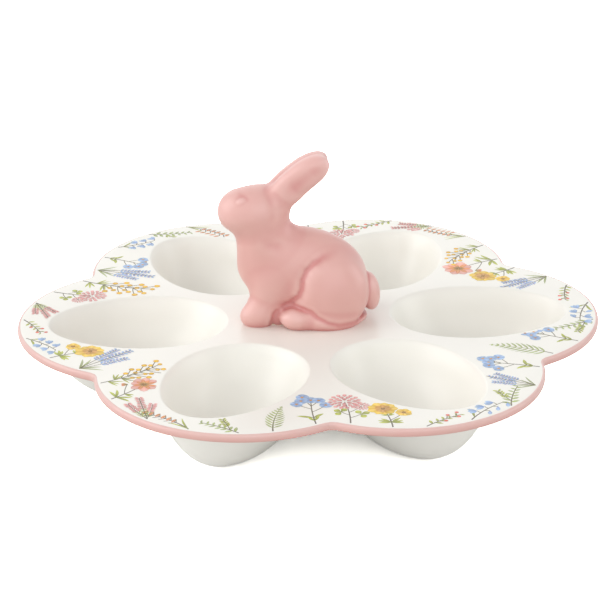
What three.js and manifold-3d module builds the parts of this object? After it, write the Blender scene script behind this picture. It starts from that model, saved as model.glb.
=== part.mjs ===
// A glazed earthenware egg tray: a scalloped deck like a six-petalled flower, an egg-shaped well in each
// petal, a pink band of glaze round the rim, and a hollow rabbit stuck to the middle as an ornament.
// Millimetres, +Z up. The origin is on the table under the tray's centre, and the rabbit faces -X.
import * as THREE from "three";
import { mergeVertices } from "three/addons/utils/BufferGeometryUtils.js";
import Module from "manifold-3d";

const wasm = await Module();
wasm.setup();

// Wells: each holds one hen's egg lying on its side, blunt end towards the rabbit.
const WELL_COUNT = 6;
const WELL_LENGTH = 74; // along the egg, between the walls just under the lip
const WELL_WIDTH = 52.6; // across the egg, halfway along
const WELL_TAPER = 0.12; // share by which the outer half is narrower and the inner half wider
const WELL_DEPTH = 30; // upper face of the deck to the floor of the well
const WELL_FLOOR = 4; // clay under the egg
const WELL_WALL = 4.2;
const WELL_ROUNDNESS = 1.75; // 1 is a cone, 2 is a round bowl
const LIP_RADIUS = 3; // rolled edge between deck and well
const FOOT_WIDTH = 13; // flat ground on the bottom of a well
const FOOT_SHIFT = 4.5; // how much further out than its mouth a well stands
const WELL_WEB = 4.6; // least gap between the walls of two neighbouring wells

// Deck: round lobes that run into each other, with a soft inner corner at each notch.
const DECK_THICKNESS = 4.5;
const DECK_BORDER = 14.3; // from the outer end of a well's mouth to the edge of the tray
const LOBE_RADIUS = 64;
const NOTCH_RADIUS = 5;
const VENT_WIDTH = 4; // kiln vent through the deck, under the rabbit
const HUB_MARGIN = 5.4; // flat deck between the rabbit's forepaws and the nearest lip

// Rim band: a thick coat of glaze on the edge of the deck, rounded outside.
const BAND_THICKNESS = 1.9;
const BAND_ROUNDING = 1.7;
const BAND_CLEARANCE = 0.3;

// Rabbit: rounded masses that run into each other. x, y and z place a mass, from the deck's centre.
// length, width and height are its full sizes, pitch lifts its tail end, in degrees, and crease is the
// radius of the valley to the masses before it. A paired mass has a twin on the other side.
const TORSO = { x: -4.7, y: 0, z: 24.7, length: 55.6, width: 27, height: 37.4, pitch: -6.6, crease: 0 };
const RUMP = { x: 7.2, y: 0, z: 14.3, length: 37, width: 32, height: 39, pitch: -15, crease: 6 };
const BELLY = { x: -8, y: 0, z: 4, length: 44, width: 22, height: 18, pitch: 0, crease: 3 };
const NECK = { x: -20.8, y: 0, z: 41.3, length: 24, width: 21, height: 25.2, pitch: 0, crease: 6 };
const HEAD = { x: -24.2, y: 0, z: 52.6, length: 32.4, width: 24, height: 22, pitch: 11, crease: 4 };
const MUZZLE = { x: -32.1, y: 0, z: 53.2, length: 14.4, width: 15, height: 14.6, pitch: 0, crease: 4 };
const TAIL = { x: 27.3, y: 0, z: 11.8, length: 9.6, width: 13, height: 18.2, pitch: 8, crease: 1.5 };
const THIGH = { x: 11.7, y: 12.5, z: 13.3, length: 30.4, width: 14, height: 29.2, pitch: 0, crease: 2.5 };
const HIND_FOOT = { x: 3, y: 14, z: 2.2, length: 36.6, width: 11, height: 7.8, pitch: 1, crease: 2 };
const FORELEG = { x: -19.6, y: 7.5, z: 11, length: 14, width: 12, height: 23, pitch: -3, crease: 3 };
const FOREPAW = { x: -25.2, y: 7.5, z: 3.5, length: 13.6, width: 11, height: 8.2, pitch: 4, crease: 2 };
const EAR = { x: -9.3, y: 4.2, z: 62.9, length: 31.4, width: 8.6, height: 12.6, pitch: 44, crease: 2 };
const EAR_TIP = { x: 0.4, y: 4.2, z: 71.2, length: 18.6, width: 8.6, height: 10.8, pitch: 36, crease: 3 };
const RABBIT_WALL = 5.8;
const FILL_DEPTH = 0.8; // how far a pinched crevice between two masses is filled
const SLIP_BED = 0.6; // slip that sticks the rabbit to the deck

// Finishes.
const WHITE_GLAZE = { color: 0xf5f3ec, roughness: 0.3 };
const PINK_GLAZE = { color: 0xe6aaa5, roughness: 0.35 };
const BARE_SLIP = { color: 0xe9ddd3, roughness: 0.8 };

// Fineness of the curved surfaces.
const LOBE_STEPS = 16;
const NOTCH_STEPS = 3;
const WELL_STEPS = 28;
const BOWL_STEPS = 7;
const LIP_STEPS = 3;
const VENT_STEPS = 12;
const RABBIT_CELL = 3.3; // widest grid cube under the rabbit's skin
const WELD_DISTANCE = 1e-4; // corners nearer than this are one corner

// Sizes that follow from the ones above.
const deckTop = WELL_DEPTH + WELL_FLOOR;
const deckUnderside = deckTop - DECK_THICKNESS;
const hubRadius = Math.abs(FOREPAW.x) + FOREPAW.length / 2 + HUB_MARGIN;
const wellReach = Math.max(reachPastHub(), reachPastNeighbour());
const trayReach = wellReach + WELL_LENGTH / 2 + LIP_RADIUS + DECK_BORDER;
const lobeReach = trayReach - LOBE_RADIUS;
const rabbitCell = Math.min(RABBIT_CELL, RABBIT_WALL / Math.sqrt(3)); // no cube may span the wall

// Distance from the tray's centre to a well's middle at which the well's lip just clears the hub.
function reachPastHub() {
  return hubRadius + LIP_RADIUS + WELL_LENGTH / 2;
}

// Distance from the tray's centre at which two neighbouring wells have the web's width between them.
function reachPastNeighbour() {
  const halfSector = Math.PI / WELL_COUNT;
  let reach = 0;
  for (let step = 0; step < WELL_STEPS; step += 1) {
    const [along, across] = eggPoint(WELL_WIDTH / 2 + WELL_WALL, (2 * Math.PI * step) / WELL_STEPS);
    const needed = (WELL_WEB / 2 + across * Math.cos(halfSector)) / Math.sin(halfSector) - along;
    reach = Math.max(reach, needed);
  }
  return reach;
}

// A point on an egg outline of the given half width. Angle 0 is the narrow end.
function eggPoint(halfWidth, angle) {
  const mouthShare = Math.min(1, halfWidth / (WELL_WIDTH / 2));
  const halfLength = halfWidth + (mouthShare * (WELL_LENGTH - WELL_WIDTH)) / 2;
  const along = halfLength * Math.cos(angle) + FOOT_SHIFT * (1 - mouthShare);
  const across = halfWidth * Math.sin(angle) * (1 - WELL_TAPER * Math.cos(angle));
  return [along, across];
}

// The outline of the tray, moved in by the given inset: lobe arcs and notch arcs in turn.
function scallop(inset) {
  const halfSector = Math.PI / WELL_COUNT;
  const lobe = LOBE_RADIUS - inset;
  const notch = NOTCH_RADIUS + inset;
  const halfChord = lobeReach * Math.sin(halfSector);
  const notchReach = lobeReach * Math.cos(halfSector) + Math.sqrt((lobe + notch) ** 2 - halfChord ** 2);
  const notchY = notchReach * Math.sin(halfSector);
  const notchX = notchReach * Math.cos(halfSector);
  const halfLobe = Math.atan2(notchY, notchX - lobeReach);
  const halfNotch = halfLobe - halfSector;
  const points = [];
  for (let well = 0; well < WELL_COUNT; well += 1) {
    const turn = 2 * halfSector * well;
    const lobeX = lobeReach * Math.cos(turn);
    const lobeY = lobeReach * Math.sin(turn);
    const lobeArc = new THREE.EllipseCurve(lobeX, lobeY, lobe, lobe, turn - halfLobe, turn + halfLobe);
    const mid = turn + halfSector;
    const cornerX = notchReach * Math.cos(mid);
    const cornerY = notchReach * Math.sin(mid);
    const from = mid + Math.PI + halfNotch;
    const to = mid + Math.PI - halfNotch;
    const notchArc = new THREE.EllipseCurve(cornerX, cornerY, notch, notch, from, to, true);
    points.push(...lobeArc.getPoints(LOBE_STEPS));
    points.push(...notchArc.getPoints(NOTCH_STEPS).slice(1, -1));
  }
  return points;
}

// Closed geometry to a solid that can be cut and joined.
function solidOf(geometry) {
  const bare = geometry.clone();
  bare.deleteAttribute("normal");
  bare.deleteAttribute("uv");
  const merged = mergeVertices(bare, WELD_DISTANCE);
  const vertProperties = new Float32Array(merged.getAttribute("position").array);
  const triVerts = new Uint32Array(merged.getIndex().array);
  return new wasm.Manifold(new wasm.Mesh({ numProp: 3, vertProperties, triVerts }));
}

// A solid back to geometry, ready for a mesh.
function geometryOf(solid) {
  const mesh = solid.getMesh();
  const geometry = new THREE.BufferGeometry();
  geometry.setAttribute("position", new THREE.BufferAttribute(mesh.vertProperties, 3));
  geometry.setIndex(new THREE.BufferAttribute(mesh.triVerts, 1));
  geometry.computeVertexNormals();
  return geometry;
}

// A named mesh in one of the finishes.
function piece(name, geometry, finish) {
  const mesh = new THREE.Mesh(geometry, new THREE.MeshStandardMaterial(finish));
  mesh.name = name;
  return mesh;
}

// A profile of half widths and heights turned into a solid whose level sections are eggs along +X.
function eggTurned(profile) {
  const geometry = new THREE.LatheGeometry(profile, WELL_STEPS);
  geometry.rotateX(Math.PI / 2);
  const position = geometry.getAttribute("position");
  for (let i = 0; i < position.count; i += 1) {
    const x = position.getX(i);
    const y = position.getY(i);
    const [along, across] = eggPoint(Math.hypot(x, y), Math.atan2(y, x));
    position.setXY(i, wellReach + along, across);
  }
  return geometry;
}

// A bowl's side, from its foot out and up to the given height. It would stand upright at the brim.
function bowlSide(footRadius, footHeight, brimRadius, brimHeight, topHeight) {
  const power = 2 / WELL_ROUNDNESS;
  const depth = brimHeight - footHeight;
  const lastAngle = Math.acos(((brimHeight - topHeight) / depth) ** (1 / power));
  const side = [];
  for (let step = 0; step <= BOWL_STEPS; step += 1) {
    const angle = (lastAngle * step) / BOWL_STEPS;
    const radius = footRadius + (brimRadius - footRadius) * Math.sin(angle) ** power;
    const height = brimHeight - depth * Math.cos(angle) ** power;
    side.push(new THREE.Vector2(radius, height));
  }
  side[BOWL_STEPS].y = topHeight;
  return side;
}

// The room that an egg lies in, with the rolled lip, up through the deck and clear of it.
function wellRoom() {
  const lipHeight = deckTop - LIP_RADIUS;
  const lipCentre = WELL_WIDTH / 2 + LIP_RADIUS;
  const profile = bowlSide(0, WELL_FLOOR, WELL_WIDTH / 2, lipHeight, lipHeight);
  for (let step = 1; step <= LIP_STEPS; step += 1) {
    const angle = ((Math.PI / 2) * step) / LIP_STEPS;
    const radius = lipCentre - LIP_RADIUS * Math.cos(angle);
    profile.push(new THREE.Vector2(radius, lipHeight + LIP_RADIUS * Math.sin(angle)));
  }
  profile.push(new THREE.Vector2(lipCentre, deckTop + LIP_RADIUS));
  profile.push(new THREE.Vector2(0, deckTop + LIP_RADIUS));
  return solidOf(eggTurned(profile));
}

// One well, under the deck along +X: a bowl with a flat foot and a flat ring against the deck's underside.
function wellBowl() {
  const brim = WELL_WIDTH / 2 + WELL_WALL;
  const profile = [new THREE.Vector2(0, 0)];
  profile.push(...bowlSide(FOOT_WIDTH / 2, 0, brim, deckTop, deckUnderside));
  profile.push(new THREE.Vector2(0, deckUnderside));
  return solidOf(eggTurned(profile)).subtract(wellRoom());
}

// The deck: a scalloped plate with the six rolled mouths and the kiln vent cut through it.
function deckPlate() {
  const outline = new THREE.Shape(scallop(BAND_THICKNESS + BAND_CLEARANCE));
  const plate = new THREE.ExtrudeGeometry(outline, { depth: DECK_THICKNESS, bevelEnabled: false });
  plate.translate(0, 0, deckUnderside);
  const room = wellRoom();
  let deck = solidOf(plate);
  for (let well = 0; well < WELL_COUNT; well += 1) {
    deck = deck.subtract(room.rotate([0, 0, (360 * well) / WELL_COUNT]));
  }
  const vent = new THREE.CylinderGeometry(VENT_WIDTH / 2, VENT_WIDTH / 2, 3 * DECK_THICKNESS, VENT_STEPS);
  vent.rotateX(Math.PI / 2);
  vent.translate(RUMP.x, 0, deckTop);
  return deck.subtract(solidOf(vent));
}

// The rim band: a profile of insets and heights carried round the scalloped outline.
function rimBand() {
  const shoulder = BAND_ROUNDING * (1 - Math.SQRT1_2);
  const profile = [
    [BAND_THICKNESS, 0],
    [BAND_ROUNDING, 0],
    [shoulder, shoulder],
    [0, BAND_ROUNDING],
    [0, DECK_THICKNESS - BAND_ROUNDING],
    [shoulder, DECK_THICKNESS - shoulder],
    [BAND_ROUNDING, DECK_THICKNESS],
    [BAND_THICKNESS, DECK_THICKNESS],
  ];
  const rings = profile.map(([inset]) => scallop(inset));
  const around = rings[0].length;
  const positions = [];
  const index = [];
  rings.forEach((ring, level) => {
    const height = deckUnderside + profile[level][1];
    const upper = ((level + 1) % rings.length) * around;
    ring.forEach((point, step) => {
      const next = (step + 1) % around;
      const lower = level * around;
      positions.push(point.x, point.y, height);
      index.push(lower + step, lower + next, upper + next);
      index.push(lower + step, upper + next, upper + step);
    });
  });
  const geometry = new THREE.BufferGeometry();
  geometry.setAttribute("position", new THREE.Float32BufferAttribute(positions, 3));
  geometry.setIndex(index);
  geometry.computeVertexNormals();
  return geometry;
}

// Signed distance, nearly, from a point to one rounded mass of the rabbit.
function massDistance(mass, x, y, z) {
  const pitch = THREE.MathUtils.degToRad(mass.pitch);
  const dx = x - mass.x;
  const dz = z - mass.z;
  const along = (dx * Math.cos(pitch) + dz * Math.sin(pitch)) / (mass.length / 2);
  const across = (y - mass.y) / (mass.width / 2);
  const upward = (dz * Math.cos(pitch) - dx * Math.sin(pitch)) / (mass.height / 2);
  const reach = Math.hypot(along, across, upward);
  const slope = Math.hypot(along / mass.length, across / mass.width, upward / mass.height) * 2;
  return slope === 0 ? -mass.width / 2 : (reach * (reach - 1)) / slope;
}

// Signed distance to several masses, each blended into the ones before it. Both sides are alike.
function blendedDistance(masses, x, y, z) {
  return masses.reduce((distance, mass) => {
    const next = massDistance(mass, x, Math.abs(y), z);
    const overlap = Math.max(0, mass.crease - Math.abs(distance - next));
    const fill = mass.crease === 0 ? 0 : overlap ** 2 / (4 * mass.crease);
    return Math.min(distance, next) - fill;
  }, Infinity);
}

// A point moved by the steepest way onto the surface where a distance is zero, at most by the given limit.
function settled(distance, point, limit) {
  const probe = limit / 10;
  const here = distance(...point);
  const slope = point.map((_, axis) => {
    const ahead = point.map((value, other) => value + (other === axis ? probe : 0));
    return (distance(...ahead) - here) / probe;
  });
  const steepness = Math.hypot(...slope);
  const step = THREE.MathUtils.clamp(here / steepness, -limit, limit);
  return point.map((value, axis) => value - (step * slope[axis]) / steepness);
}

// The closed surface where a distance is zero: one vertex in each grid cube that the surface crosses, and
// one four-sided face round each grid edge that it crosses. The lowest layer of cubes is pressed flat on
// the base height, so that the surface stands on a level base.
function skinOf(distance, box, baseHeight) {
  const low = [box.min.x, box.min.y, baseHeight - rabbitCell / 2];
  const high = box.max.toArray();
  const count = high.map((end, axis) => Math.ceil((end - low[axis]) / rabbitCell) + 1);
  const stride = [1, count[0], count[0] * count[1]];
  const axes = [
    [0, 1, 2],
    [1, 2, 0],
    [2, 0, 1],
  ];
  const cornerSteps = [
    [0, 0],
    [1, 0],
    [0, 1],
    [1, 1],
  ];
  const values = [];
  const corners = [];
  for (let k = 0; k < count[2]; k += 1) {
    for (let j = 0; j < count[1]; j += 1) {
      for (let i = 0; i < count[0]; i += 1) {
        const corner = [i, j, k].map((step, axis) => low[axis] + step * rabbitCell);
        values.push(k === 0 ? rabbitCell : distance(...corner));
        corners.push(corner);
      }
    }
  }
  const isInside = (node) => values[node] < 0;
  const crosses = (from, to) => to < values.length && isInside(from) !== isInside(to);

  // Where only two opposite corners of a cube's face are inside, the skin would touch itself along an edge.
  // Such a face is filled, again and again until there is none.
  let filling = true;
  while (filling) {
    filling = false;
    for (let node = 0; node < values.length; node += 1) {
      for (const [, b, c] of axes) {
        const face = [node, node + stride[b], node + stride[b] + stride[c], node + stride[c]];
        const [first, second, third, fourth] = face.map(isInside);
        if (first === third && second === fourth && first !== second) {
          face.filter((corner) => !isInside(corner)).forEach((corner) => (values[corner] = -FILL_DEPTH));
          filling = true;
        }
      }
    }
  }

  const positions = [];
  const vertexOf = new Map();
  corners.forEach((corner, node) => {
    const sum = [0, 0, 0];
    let hits = 0;
    for (const [a, b, c] of axes) {
      for (const [stepB, stepC] of cornerSteps) {
        const from = node + stepB * stride[b] + stepC * stride[c];
        const to = from + stride[a];
        if (crosses(from, to)) {
          sum[a] += values[from] / (values[from] - values[to]);
          sum[b] += stepB;
          sum[c] += stepC;
          hits += 1;
        }
      }
    }
    if (hits > 0) {
      const middle = corner.map((start, axis) => start + (rabbitCell * sum[axis]) / hits);
      const inLowestLayer = node < stride[2];
      const [x, y, z] = inLowestLayer ? middle : settled(distance, middle, rabbitCell / 4);
      vertexOf.set(node, positions.length / 3);
      positions.push(x, y, inLowestLayer ? baseHeight : z);
    }
  });

  const index = [];
  corners.forEach((_, node) => {
    for (const [a, b, c] of axes) {
      if (crosses(node, node + stride[a])) {
        const cubes = [node - stride[b] - stride[c], node - stride[c], node, node - stride[b]];
        const [p, q, r, s] = cubes.map((cube) => vertexOf.get(cube));
        const facesAlongAxis = values[node] < 0;
        index.push(...(facesAlongAxis ? [p, q, r, p, r, s] : [p, r, q, p, s, r]));
      }
    }
  });
  const geometry = new THREE.BufferGeometry();
  geometry.setAttribute("position", new THREE.Float32BufferAttribute(positions, 3));
  geometry.setIndex(index);
  geometry.computeVertexNormals();
  return geometry;
}

// The box that holds a list of masses, whatever their pitch, with a grid cube to spare on every side.
function boxAround(masses) {
  const box = new THREE.Box3();
  for (const mass of masses) {
    const radius = Math.max(mass.length, mass.width, mass.height) / 2;
    box.expandByPoint(new THREE.Vector3(mass.x - radius, -mass.y - radius, mass.z - radius));
    box.expandByPoint(new THREE.Vector3(mass.x + radius, mass.y + radius, mass.z + radius));
  }
  return box.expandByScalar(rabbitCell);
}

// The rabbit, standing on its bed of slip. The casting is hollow in its body and head, and the hollow opens
// at the base, where the spare slip was drained.
function rabbitCasting() {
  const hollowMasses = [TORSO, RUMP, NECK, HEAD];
  const masses = [...hollowMasses, BELLY, MUZZLE, TAIL, THIGH, HIND_FOOT, FORELEG, FOREPAW, EAR, EAR_TIP];
  const wallDistance = (x, y, z) => {
    const fromSkin = blendedDistance(masses, x, y, z);
    const fromHollow = blendedDistance(hollowMasses, x, y, z) + RABBIT_WALL;
    return Math.max(fromSkin, -fromHollow);
  };
  return skinOf(wallDistance, boxAround(masses), SLIP_BED);
}

// The bed of slip: an oval where the rabbit's belly meets the deck, with the kiln vent through it.
function slipBed() {
  const contact = Math.sqrt(1 - ((2 * BELLY.z) / BELLY.height) ** 2);
  const oval = new THREE.Shape();
  oval.absellipse(BELLY.x, 0, (BELLY.length / 2) * contact, (BELLY.width / 2) * contact, 0, 2 * Math.PI);
  const vent = new THREE.Path();
  vent.absarc(RUMP.x, 0, VENT_WIDTH / 2, 0, 2 * Math.PI);
  oval.holes.push(vent);
  const flat = { depth: SLIP_BED, bevelEnabled: false, curveSegments: VENT_STEPS };
  return new THREE.ExtrudeGeometry(oval, flat);
}

const tray = new THREE.Group();
tray.add(piece("tray_deck", geometryOf(deckPlate()), WHITE_GLAZE));
tray.add(piece("rim_band", rimBand(), PINK_GLAZE));

const bowl = geometryOf(wellBowl());
for (let well = 0; well < WELL_COUNT; well += 1) {
  const mesh = piece(`egg_well_${well + 1}`, bowl, WHITE_GLAZE);
  mesh.rotation.z = (2 * Math.PI * well) / WELL_COUNT;
  tray.add(mesh);
}

const figure = new THREE.Group();
figure.position.z = deckTop;
figure.add(piece("rabbit", rabbitCasting(), PINK_GLAZE));
figure.add(piece("slip_bed", slipBed(), BARE_SLIP));
tray.add(figure);

export default tray;
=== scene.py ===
"""The looks of a glazed earthenware egg tray with a rabbit in its middle, round its solid model."""

import itertools
import logging
import math
from collections.abc import Callable, Mapping, Sequence
from dataclasses import dataclass, field
from enum import Enum, IntEnum

import bmesh
import bpy
import numpy as np
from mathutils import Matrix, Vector


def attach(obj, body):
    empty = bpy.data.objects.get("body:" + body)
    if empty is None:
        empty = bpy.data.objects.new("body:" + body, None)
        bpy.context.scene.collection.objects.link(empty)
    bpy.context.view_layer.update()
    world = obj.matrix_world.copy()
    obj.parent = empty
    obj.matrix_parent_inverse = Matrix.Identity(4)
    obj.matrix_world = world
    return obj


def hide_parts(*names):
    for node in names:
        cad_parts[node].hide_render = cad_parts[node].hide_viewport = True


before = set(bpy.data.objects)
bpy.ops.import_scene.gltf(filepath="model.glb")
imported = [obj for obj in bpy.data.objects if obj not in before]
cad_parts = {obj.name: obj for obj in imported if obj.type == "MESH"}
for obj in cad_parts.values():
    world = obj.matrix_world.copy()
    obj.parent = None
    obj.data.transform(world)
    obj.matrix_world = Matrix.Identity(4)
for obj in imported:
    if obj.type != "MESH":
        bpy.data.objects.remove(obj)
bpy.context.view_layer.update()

LOG = logging.getLogger("egg_tray")
MM = 0.001  # the scene is in metres, and the sizes below are in millimetres
WELD_M = 1e-7  # corners closer than this become one
TINY = 1e-9  # keeps a division clear of zero
BODY = "root"

Linear = tuple[float, float, float, float]


def linear(hex_code: str) -> Linear:
    """Turns an sRGB hex colour into linear light.

    Args:
        hex_code: Six hex digits, red first.

    Returns:
        Linear red, green and blue, and an alpha of 1.
    """
    shares = [int(hex_code[start : start + 2], 16) / 255 for start in (0, 2, 4)]
    red, green, blue = (
        share / 12.92 if share <= 0.04045 else ((share + 0.055) / 1.055) ** 2.4 for share in shares
    )
    return red, green, blue, 1.0


def add_node(
    tree: bpy.types.NodeTree,
    kind: str,
    inputs: Mapping[str | int, object] | None = None,
    **settings: object,
) -> bpy.types.Node:
    """Adds one node with its settings, values and links.

    Args:
        tree: The tree that gets the node.
        kind: The node's type name.
        inputs: For each socket, a value to set or another node's output to link.
        settings: The node's own properties.

    Returns:
        The new node.
    """
    node = tree.nodes.new(kind)
    for name, value in settings.items():
        setattr(node, name, value)
    for socket, value in (inputs or {}).items():
        if isinstance(value, bpy.types.NodeSocket):
            tree.links.new(value, node.inputs[socket])
        else:
            node.inputs[socket].default_value = value
    return node


def fresh_material(name: str) -> tuple[bpy.types.Material, bpy.types.NodeTree]:
    """Makes a material with an empty node tree.

    Args:
        name: The material's name.

    Returns:
        The material and its tree.
    """
    material = bpy.data.materials.new(name)
    material.use_nodes = True
    material.node_tree.nodes.clear()
    return material, material.node_tree


def mesh_piece(
    name: str,
    points: np.ndarray,
    faces: Sequence[Sequence[int]],
    materials: Sequence[bpy.types.Material],
    finish: Sequence[int] = (),
    weld: bool = False,
) -> bpy.types.Object:
    """Makes a smooth-shaded piece that rides on the tray's body.

    Args:
        name: The piece's name.
        points: Its corners, in millimetres.
        faces: Corner numbers of each face.
        materials: Its finishes.
        finish: For each face, the number of its finish. Without it all faces have the first.
        weld: Whether corners in the same place become one, and faces turn outward.

    Returns:
        The piece, linked into the scene.
    """
    mesh = bpy.data.meshes.new(name)
    mesh.from_pydata((np.asarray(points) * MM).tolist(), [], faces)
    for material in materials:
        mesh.materials.append(material)
    if finish:
        mesh.polygons.foreach_set("material_index", finish)
    if weld:
        work = bmesh.new()
        work.from_mesh(mesh)
        bmesh.ops.remove_doubles(work, verts=work.verts, dist=WELD_M)
        bmesh.ops.recalc_face_normals(work, faces=work.faces)
        work.to_mesh(mesh)
        work.free()
    mesh.polygons.foreach_set("use_smooth", [True] * len(mesh.polygons))
    piece = bpy.data.objects.new(name, mesh)
    bpy.context.scene.collection.objects.link(piece)
    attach(piece, BODY)
    LOG.info("%s: %d faces", name, len(mesh.polygons))
    return piece


def mark_pooling_and_shade(piece: bpy.types.Object, pooling_and_shade: np.ndarray) -> None:
    """Stores the glaze pooled on a piece and the shade and highlight painted on it, for its finish to
    read.

    Args:
        piece: The piece.
        pooling_and_shade: From 0 to 1, for each of its points: pooled glaze with painted shade laid in.
    """
    shade = piece.data.attributes.new("pooling_and_shade", "FLOAT", "POINT")
    shade.data.foreach_set("value", pooling_and_shade.astype(np.float32))


def grid_faces(start: int, rows: int, columns: int, closed: bool) -> list[list[int]]:
    """Four-sided faces between neighbouring rows of points.

    Args:
        start: Number of the first point.
        rows: How many rows there are.
        columns: How many points a row has.
        closed: Whether the last point of a row joins the first.

    Returns:
        The faces' corner numbers.
    """
    faces = []
    for row in range(rows - 1):
        for column in range(columns if closed else columns - 1):
            after = (column + 1) % columns
            here = start + row * columns
            there = here + columns
            faces.append([here + column, there + column, there + after, here + after])
    return faces


def turned(points: np.ndarray, angle: float) -> np.ndarray:
    """Turns points about the tray's upright axis.

    Args:
        points: Rows of x, y and perhaps z.
        angle: Anticlockwise, in radians.

    Returns:
        The turned points.
    """
    cosine, sine = math.cos(angle), math.sin(angle)
    result = np.array(points, float)
    result[..., 0] = cosine * points[..., 0] - sine * points[..., 1]
    result[..., 1] = sine * points[..., 0] + cosine * points[..., 1]
    return result


def at_height(flat: np.ndarray, height: float) -> np.ndarray:
    """Flat points, lifted to one height."""
    return np.column_stack([flat, np.full(len(flat), height)])


def eased(share: np.ndarray) -> np.ndarray:
    """A share from 0 to 1 that starts and ends gently."""
    return share * share * (3 - 2 * share)


@dataclass(frozen=True)
class GlazeRipple:
    """The faint unevenness of a fired glaze. The eye sees it as breaks in a soft shine."""

    spacing_mm: float
    height_mm: float = 0.05

    def normal(self, tree: bpy.types.NodeTree, place: bpy.types.NodeSocket) -> bpy.types.NodeSocket:
        """Adds the ripple to a finish.

        Args:
            tree: The finish's tree.
            place: Where on the piece, in metres.

        Returns:
            The direction that the rippled glaze faces.
        """
        ripple = add_node(
            tree,
            "ShaderNodeTexNoise",
            {"Vector": place, "Scale": 1 / (self.spacing_mm * MM), "Detail": 2.0},
        ).outputs["Fac"]
        return add_node(
            tree, "ShaderNodeBump", {"Height": ripple, "Distance": self.height_mm * MM, "Strength": 1.0}
        ).outputs["Normal"]


@dataclass(frozen=True)
class WhiteGlaze:
    """Slip-cast earthenware under a clear, soft-gloss glaze.

    The eye sees a warm white that drifts a little where the glaze lies thicker, and a broad soft shine
    that the slightly uneven glaze breaks up.
    """

    body: str = "F2F0E8"
    pooled: str = "ECEAE3"
    drift_mm: float = 38.0
    ripple: GlazeRipple = GlazeRipple(9.0)
    roughness: tuple[float, float] = (0.27, 0.36)
    ior: float = 1.45

    def material(self) -> bpy.types.Material:
        """Builds the glaze's material.

        Returns:
            The material.
        """
        material, tree = fresh_material("white_earthenware_glaze")
        place = add_node(tree, "ShaderNodeTexCoord").outputs["Object"]
        drift = add_node(
            tree, "ShaderNodeTexNoise", {"Vector": place, "Scale": 1 / (self.drift_mm * MM), "Detail": 3.0}
        ).outputs["Fac"]
        colour = add_node(
            tree,
            "ShaderNodeMix",
            {"Factor": drift, 6: linear(self.body), 7: linear(self.pooled)},
            data_type="RGBA",
        ).outputs[2]
        shine = add_node(
            tree,
            "ShaderNodeMapRange",
            {"Value": drift, "To Min": self.roughness[0], "To Max": self.roughness[1]},
        ).outputs["Result"]
        normal = self.ripple.normal(tree, place)
        shader = add_node(
            tree,
            "ShaderNodeBsdfPrincipled",
            {"Base Color": colour, "Roughness": shine, "IOR": self.ior, "Normal": normal},
        ).outputs[0]
        add_node(tree, "ShaderNodeOutputMaterial", {"Surface": shader})
        return material


@dataclass(frozen=True)
class PinkGlaze:
    """Rose-coloured glaze, brushed and dipped.

    The eye sees it paler where it ran thin over ridges and rosier where it pooled in creases, with a
    faint cloudiness all over and a soft shine. The rosier end also carries painted shade in creases and at
    the rabbit's foot, and on the rim band painted shade low down under a painted highlight along its top.
    """

    name: str = "rose_pink_glaze"
    # thin is the pale end: thin glaze on ridges, and on the rim band a painted highlight along its top.
    # The rosy end is pooled glaze, plus painted shade in creases, at the rabbit's foot and low on the
    # band.
    thin: str = "E9BEB8"
    body: str = "DEAEA6"
    gathered_and_shaded: str = "CC8683"
    cloud: str = "DCA49F"
    cloud_mm: float = 11.0
    cloud_range: tuple[float, float] = (0.3, 0.7)
    cloud_share: float = 0.35
    ripple: GlazeRipple = GlazeRipple(6.0)
    roughness: float = 0.3
    ior: float = 1.5

    def material(self) -> bpy.types.Material:
        """Builds the glaze's material, which reads each point's pooled glaze and painted shade, 0 to 1.

        Returns:
            The material.
        """
        material, tree = fresh_material(self.name)
        place = add_node(tree, "ShaderNodeTexCoord").outputs["Object"]
        # each point's share from pale to rosy: pooled glaze, with painted shade and painted highlight laid
        # in
        pooling_and_shade = add_node(tree, "ShaderNodeAttribute", attribute_name="pooling_and_shade")
        depth = add_node(tree, "ShaderNodeValToRGB", {"Fac": pooling_and_shade.outputs["Fac"]})
        stops = depth.color_ramp.elements
        stops[0].color = linear(self.thin)
        stops[1].color = linear(self.gathered_and_shaded)
        stops.new(0.5).color = linear(self.body)
        clouds = add_node(
            tree, "ShaderNodeTexNoise", {"Vector": place, "Scale": 1 / (self.cloud_mm * MM), "Detail": 4.0}
        ).outputs["Fac"]
        thinnest, thickest = self.cloud_range
        amount = add_node(
            tree,
            "ShaderNodeMapRange",
            {"Value": clouds, "From Min": thinnest, "From Max": thickest, "To Max": self.cloud_share},
        ).outputs["Result"]
        colour = add_node(
            tree,
            "ShaderNodeMix",
            {"Factor": amount, 6: depth.outputs["Color"], 7: linear(self.cloud)},
            data_type="RGBA",
        ).outputs[2]
        normal = self.ripple.normal(tree, place)
        shader = add_node(
            tree,
            "ShaderNodeBsdfPrincipled",
            {"Base Color": colour, "Roughness": self.roughness, "IOR": self.ior, "Normal": normal},
        ).outputs[0]
        add_node(tree, "ShaderNodeOutputMaterial", {"Surface": shader})
        return material


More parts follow.
